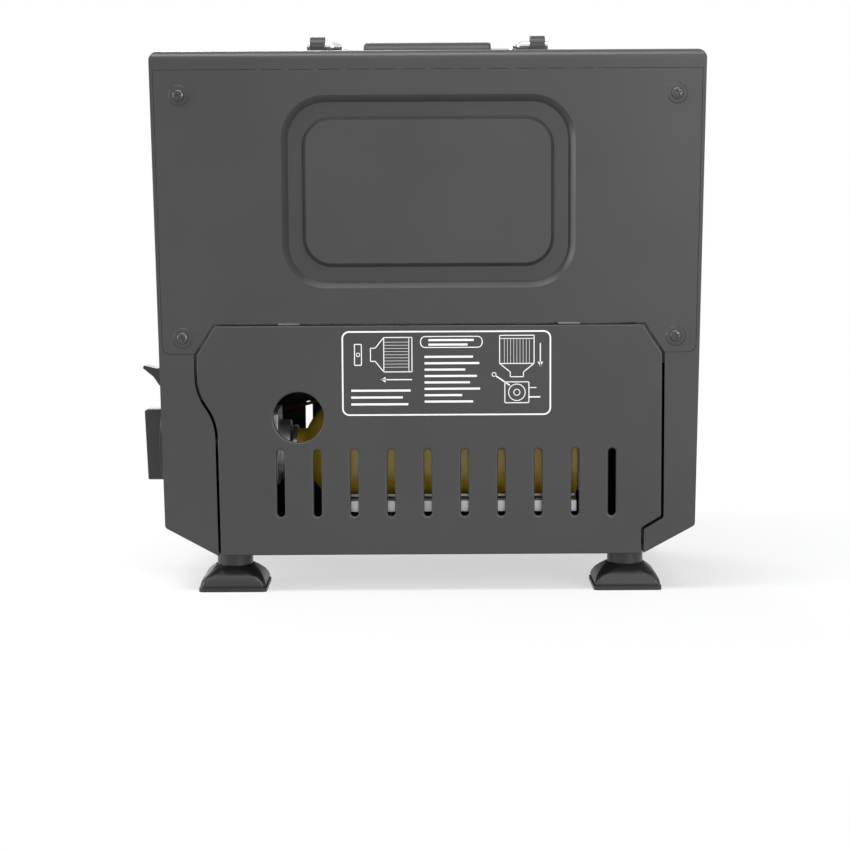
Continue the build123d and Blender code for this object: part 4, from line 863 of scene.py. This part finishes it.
@dataclass
class Fasteners:
    """The case screws: domed heads with a cross recess. All sizes are millimetres.

    Attributes:
        radius: Head radius.
        height: Head height.
        rim: Height of the head's edge as a share of its height.
        rings: Rings of faces on the dome.
        around: Faces around the head.
        cross: Length, width and height of the cutter for each arm of the recess.
        across: The cover screws' distance from the body's middle.
        levels: The cover screws' heights above the floor.
        slant: Turn of their recesses, in radians.
        lid_y: The lid screws' distance from the middle, along the heater's depth.
        lid_z: The lid screws' height above the floor.
    """

    radius: float = 3.75
    height: float = 1.9
    rim: float = 0.25
    rings: int = 7
    around: int = 32
    cross: Point3 = (4.3, 0.95, 2.4)
    across: float = 157.3
    levels: Point2 = (165.0, 318.0)
    slant: float = 0.4
    lid_y: float = 60.0
    lid_z: float = 338.0

    def _head(self) -> bpy.types.Object:
        """Makes one head that points along +Z, with its recess.

        Returns:
            The head's object.
        """
        grid = []
        for i in range(self.rings + 1):
            turn = math.pi / 2 * i / self.rings
            rise = self.rim + (1.0 - self.rim) * math.cos(turn)
            grid.append((self.radius * math.sin(turn) * MM, self.height * rise * MM))
        grid.append((self.radius * MM, 0.0))
        turns = [2 * math.pi * k / self.around for k in range(self.around)]
        shape = bmesh.new()
        rows = [[shape.verts.new((r * math.cos(turn), r * math.sin(turn), z)) for turn in turns]
                for r, z in grid[1:]]
        tip = shape.verts.new((0.0, 0.0, grid[0][1]))
        for k in range(self.around):
            j = (k + 1) % self.around
            shape.faces.new((tip, rows[0][k], rows[0][j]))
            for a, b in zip(rows, rows[1:]):
                shape.faces.new((a[k], b[k], b[j], a[j]))
        shape.faces.new(list(reversed(rows[-1])))
        for face in shape.faces:
            face.smooth = True
        head, cutter = mesh_object("screw_head", shape), self._cutter()
        cut = head.modifiers.new("recess", "BOOLEAN")
        cut.object = cutter
        cut.operation = "DIFFERENCE"
        cut.use_self = True
        made = bake_modifiers(head, "screw_head_cut")
        bpy.data.objects.remove(cutter)
        return made

    def _cutter(self) -> bpy.types.Object:
        """Makes the cross that cuts the recess.

        Returns:
            The cutter's object.
        """
        shape = bmesh.new()
        long, thin, deep = (size * MM for size in self.cross)
        place = Matrix.Translation((0, 0, self.height * MM))
        for size in ((long, thin), (thin, long)):
            bmesh.ops.create_cube(shape, size=1.0, matrix=place @ Matrix.Diagonal((*size, deep, 1.0)))
        return mesh_object("cross", shape)

    def build(self, shop: Workshop, repeats: Repeats) -> None:
        """Builds the screws of the cover and of the lid.

        Args:
            shop: The workshop with the materials.
            repeats: The Geometry Nodes trees.
        """
        low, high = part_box("case_screws")
        seat = high[1] - self.height * MM
        head = self._head()
        middle = body_middle()
        places = [Vector((middle + s * self.across * MM, seat, z * MM)) for s in (-1, 1) for z in self.levels]
        rear = repeats.screws(shop, "cover_screw_heads", places, (-math.pi / 2, self.slant, 0.0), head)
        lid = []
        for side, x, letter in ((-1, low[0], "a"), (1, high[0], "b")):
            inner = x - side * self.height * MM
            places = [Vector((inner, s * self.lid_y * MM, self.lid_z * MM)) for s in (-1, 1)]
            turn = (0.0, side * math.pi / 2, 0.0)
            lid.append(repeats.screws(shop, f"lid_screw_heads_{letter}", places, turn, head))
        bpy.data.objects.remove(head)
        for piece in (rear, *lid):
            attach(piece, "casing")
            LOG.info("made %s", piece.name)
        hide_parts("case_screws")


@dataclass
class Burner:
    """The guard in front of the burner and the flame ports in its plaques. All sizes are millimetres.

    Attributes:
        wires: Number of level wires.
        wire: Radius of a level wire.
        overhang: How far a level wire reaches past the rim at each end.
        posts: Number of upright wires.
        post: Radius of an upright wire.
        post_pitch: Distance between upright wires.
        rod: Radius of the rim rod.
        rim_corner: Corner radius of the rim's middle line.
        rim_steps: Points on each corner of the rim.
        pitch: Distance between flame ports.
        port: Radius of a flame port.
    """

    wires: int = 9
    wire: float = 1.1
    overhang: float = 0.2
    posts: int = 3
    post: float = 0.9
    post_pitch: float = 70.0
    rod: float = 1.5
    rim_corner: float = 12.5
    rim_steps: int = 8
    pitch: float = 2.6
    port: float = 0.62

    def build(self, shop: Workshop, repeats: Repeats) -> None:
        """Builds the guard and the ports.

        Args:
            shop: The workshop with the materials.
            repeats: The Geometry Nodes trees.
        """
        low, high = (Vector(v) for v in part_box("wire_guard"))
        middle_y = high.y - self.rod * MM
        rise = (high.z - low.z - 2 * self.rod * MM) / (self.wires + 1)
        start = Vector((low.x, middle_y, low.z + self.rod * MM + rise))
        end = Vector((high.x, start.y, start.z))
        level = repeats.wires(shop, "guard_level_wires", self.wire * MM, start, end,
                              Vector((0, 0, rise)), self.wires)
        first = (low.x + high.x) / 2 - (self.posts - 1) / 2 * self.post_pitch * MM
        foot = Vector((first, low.y + self.post * MM, low.z + self.rod * MM))
        top = Vector((first, foot.y, high.z - self.rod * MM))
        upright = repeats.wires(shop, "guard_upright_wires", self.post * MM, foot, top,
                                Vector((self.post_pitch * MM, 0, 0)), self.posts)
        for piece in (level, upright):
            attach(piece, "casing")
        self._rim(shop, low, high, middle_y)
        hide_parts("wire_guard")
        for node in ("ceramic_plaque_left", "ceramic_plaque_right"):
            self._ports(shop, repeats, node)

    def _ports(self, shop: Workshop, repeats: Repeats, node: str) -> None:
        """Puts the flame ports on a plaque as discs of painted shade, with a plain margin around them.

        Args:
            shop: The workshop with the materials.
            repeats: The Geometry Nodes trees.
            node: The plaque's CAD node.
        """
        low, high = (Vector(v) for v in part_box(node))
        columns = int((high.x - low.x) / MM / self.pitch) - 1
        rows = int((high.z - low.z) / MM / self.pitch) - 2
        middle = (low + high) / 2
        places = [
            Vector((middle.x + (c - (columns - 1) / 2) * self.pitch * MM, low.y - HAIR,
                    middle.z + (r - (rows - 1) / 2) * self.pitch * MM))
            for r in range(rows)
            for c in range(columns)
        ]
        ports = repeats.ports(shop, f"{node}_ports", places, self.port * MM)
        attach(ports, "casing")
        LOG.info("made %s, %d ports", ports.name, len(places))

    def _rim(self, shop: Workshop, low: Vector, high: Vector, y: float) -> None:
        """Makes the guard's rim rod as a round tube on a rounded rectangle.

        Args:
            shop: The workshop with the materials.
            low: Lowest corner of the guard.
            high: Highest corner of the guard.
            y: The rod's depth.
        """
        half = (high.x - low.x) / 2 - (self.rod + self.overhang) * MM
        tall = (high.z - low.z) / 2 - self.rod * MM
        corner = self.rim_corner * MM
        path = []
        for k, (sx, sz) in enumerate(CORNERS):
            across = (low.x + high.x) / 2 + sx * (half - corner)
            centre = Vector((across, y, (low.z + high.z) / 2 + sz * (tall - corner)))
            for s in range(self.rim_steps + 1):
                turn = math.pi / 2 * (k + s / self.rim_steps)
                out = Vector((math.cos(turn), 0, math.sin(turn)))
                path.append((centre + corner * out, out))
        shape = bmesh.new()
        inward = Vector((0, 1, 0))
        turns = [2 * math.pi * j / WIRE_SIDES for j in range(WIRE_SIDES)]
        rows = [[shape.verts.new(place + self.rod * MM * (math.cos(turn) * out + math.sin(turn) * inward))
                 for turn in turns] for place, out in path]
        for i, row in enumerate(rows):
            following = rows[(i + 1) % len(rows)]
            for j in range(WIRE_SIDES):
                k = (j + 1) % WIRE_SIDES
                shape.faces.new((row[j], row[k], following[k], following[j]))
        for face in shape.faces:
            face.smooth = True
        bmesh.ops.recalc_face_normals(shape, faces=shape.faces)
        shop.add("guard_rim", shape, "bright_steel", "casing")


@dataclass(frozen=True)
class Lamp:
    """A soft rectangular lamp.

    Attributes:
        name: The lamp's name.
        place: Its place in metres.
        size: Its width and height in metres.
        power: Its power in watts.
    """

    name: str
    place: Point3
    size: Point2
    power: float

    def hang(self, aim: Vector) -> None:
        """Adds the lamp to the scene.

        Args:
            aim: The point that it faces.
        """
        data = bpy.data.lights.new(self.name, "AREA")
        data.shape = "RECTANGLE"
        data.size, data.size_y = self.size
        data.energy = self.power
        lamp = link_object(self.name, data)
        lamp.location = self.place
        lamp.rotation_euler = (aim - Vector(self.place)).to_track_quat("-Z", "Y").to_euler()


# The key lamp lights the back from the photograph's right, and the others fill all round
LAMPS = (
    Lamp("key", (-1.3, 2.0, 0.8), (1.0, 1.4), 32.0),
    Lamp("top", (0.1, 0.6, 1.7), (1.5, 0.5), 20.0),
    Lamp("left_strip", (1.5, 0.45, 0.5), (0.25, 1.3), 14.0),
    Lamp("front_fill", (0.8, -2.0, 1.3), (1.5, 1.2), 40.0),
)


@dataclass
class Studio:
    """Pale floor, white surround, soft lamps and the camera at the photograph's viewing angle.

    Attributes:
        focal_px: Focal length in pixels of the square photograph.
        frame_px: Width of the photograph in pixels.
        distance: From the heater's back face to the camera, in metres.
        height: Height of the camera, in metres.
        across: The camera's offset to the side, in metres.
        pitch: How far the camera looks down, in degrees.
        roll: How far the heater is turned anticlockwise in the picture, in degrees.
        sensor: Width of the camera's sensor, in millimetres.
        reach: How far the camera sees, in metres.
        lamp_aim: Height of the point that the lamps face, in metres.
        floor_radius: Radius of the floor, in metres.
        floor_tone: The floor's colour.
        floor_rough: The floor's roughness.
        glow_reach: Distances between which the floor's own white grows, in metres.
        glow_share: Share of that white near the heater and far from it.
        surround_tone: Colour of the surround as a light.
        surround_power: Strength of the surround as a light.
    """

    focal_px: float = 2000.0
    frame_px: float = 850.0
    distance: float = 1.275
    height: float = 0.2425
    across: float = 0.0029
    pitch: float = 6.0
    roll: float = 0.3
    sensor: float = 36.0
    reach: float = 50.0
    lamp_aim: float = 0.15
    floor_radius: float = 9.0
    floor_tone: Colour = (0.86, 0.86, 0.86)
    floor_rough: float = 0.9
    glow_reach: Point2 = (0.2, 0.75)
    glow_share: Point2 = (0.6, 1.0)
    surround_tone: Colour = (0.9, 0.95, 1.0)
    surround_power: float = 0.3

    def build(self) -> None:
        """Builds the stage, the lamps and the camera."""
        self._floor()
        self._surround()
        for lamp in LAMPS:
            lamp.hang(Vector((0, 0, self.lamp_aim)))
        self._camera()

    def _lit_white(self, tree: bpy.types.NodeTree) -> bpy.types.NodeSocket:
        """A value of 1 for rays from the camera, off glossy surfaces or through glass.

        Args:
            tree: The node tree that uses it.

        Returns:
            The socket with the value.
        """
        n, link = tree.nodes, tree.links.new
        path, first, both = n.new("ShaderNodeLightPath"), n.new("ShaderNodeMath"), n.new("ShaderNodeMath")
        first.operation = both.operation = "MAXIMUM"
        link(path.outputs["Is Camera Ray"], first.inputs[0])
        link(path.outputs["Is Glossy Ray"], first.inputs[1])
        link(first.outputs[0], both.inputs[0])
        link(path.outputs["Is Transmission Ray"], both.inputs[1])
        return both.outputs[0]

    def _floor(self) -> None:
        """Lays the floor."""
        shape = bmesh.new()
        bmesh.ops.create_circle(shape, cap_ends=True, radius=self.floor_radius, segments=64)
        floor = mesh_object("studio_floor", shape)
        floor.data.materials.append(self._floor_white())

    def _floor_white(self) -> bpy.types.Material:
        """Makes the floor's white, which keeps the heater's shadow and joins the surround far away.

        Returns:
            The material.
        """
        made = bpy.data.materials.new("floor_white")
        made.use_nodes = True
        n, link = made.node_tree.nodes, made.node_tree.links.new
        shader, out = n["Principled BSDF"], n["Material Output"]
        shader.inputs["Base Color"].default_value = (*self.floor_tone, 1.0)
        shader.inputs["Roughness"].default_value = self.floor_rough
        glow, mix, share = n.new("ShaderNodeEmission"), n.new("ShaderNodeMixShader"), n.new("ShaderNodeMath")
        share.operation = "MULTIPLY"
        place, reach = n.new("ShaderNodeTexCoord"), n.new("ShaderNodeVectorMath")
        reach.operation = "LENGTH"
        fade = n.new("ShaderNodeMapRange")
        fade.interpolation_type = "SMOOTHSTEP"
        fade.inputs["From Min"].default_value, fade.inputs["From Max"].default_value = self.glow_reach
        fade.inputs["To Min"].default_value, fade.inputs["To Max"].default_value = self.glow_share
        link(place.outputs["Object"], reach.inputs[0])
        link(reach.outputs["Value"], fade.inputs["Value"])
        link(fade.outputs["Result"], share.inputs[1])
        link(self._lit_white(made.node_tree), share.inputs[0])
        link(share.outputs[0], mix.inputs["Fac"])
        link(shader.outputs["BSDF"], mix.inputs[1])
        link(glow.outputs["Emission"], mix.inputs[2])
        link(mix.outputs["Shader"], out.inputs["Surface"])
        return made

    def _surround(self) -> None:
        """Makes the surround white to the camera and dim as a light."""
        world = bpy.data.worlds.new("studio")
        bpy.context.scene.world = world
        world.use_nodes = True
        n, link = world.node_tree.nodes, world.node_tree.links.new
        light, white, mix = n["Background"], n.new("ShaderNodeBackground"), n.new("ShaderNodeMixShader")
        light.inputs["Color"].default_value = (*self.surround_tone, 1.0)
        light.inputs["Strength"].default_value = self.surround_power
        white.inputs["Color"].default_value = (1.0, 1.0, 1.0, 1.0)
        white.inputs["Strength"].default_value = 1.0
        link(self._lit_white(world.node_tree), mix.inputs["Fac"])
        link(light.outputs["Background"], mix.inputs[1])
        link(white.outputs["Background"], mix.inputs[2])
        link(mix.outputs["Shader"], n["World Output"].inputs["Surface"])

    def _camera(self) -> None:
        """Sets the camera and the plain view transform."""
        data = bpy.data.cameras.new("photo_camera")
        data.sensor_width = self.sensor
        data.lens = self.focal_px * data.sensor_width / self.frame_px
        data.clip_end = self.reach
        camera = link_object("photo_camera", data)
        level = Matrix.Rotation(math.radians(90.0 - self.pitch), 4, "X")
        turn = Matrix.Rotation(math.pi, 4, "Z") @ level @ Matrix.Rotation(math.radians(-self.roll), 4, "Z")
        place = (body_middle() + self.across, frame_back() + self.distance, self.height)
        camera.matrix_world = Matrix.Translation(place) @ turn
        bpy.context.scene.camera = camera
        bpy.context.scene.view_settings.view_transform = "Standard"


def main() -> None:
    """Builds the looks in order."""
    logging.basicConfig(level=logging.INFO, format="%(message)s")
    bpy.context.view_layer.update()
    shop = Workshop()
    repeats = Repeats()
    shop.dress_frame()
    SoftEdges().build(shop)
    PrintedPanel().build(shop)
    Fasteners().build(shop, repeats)
    Burner().build(shop, repeats)
    Studio().build()


if __name__ == "__main__":
    main()
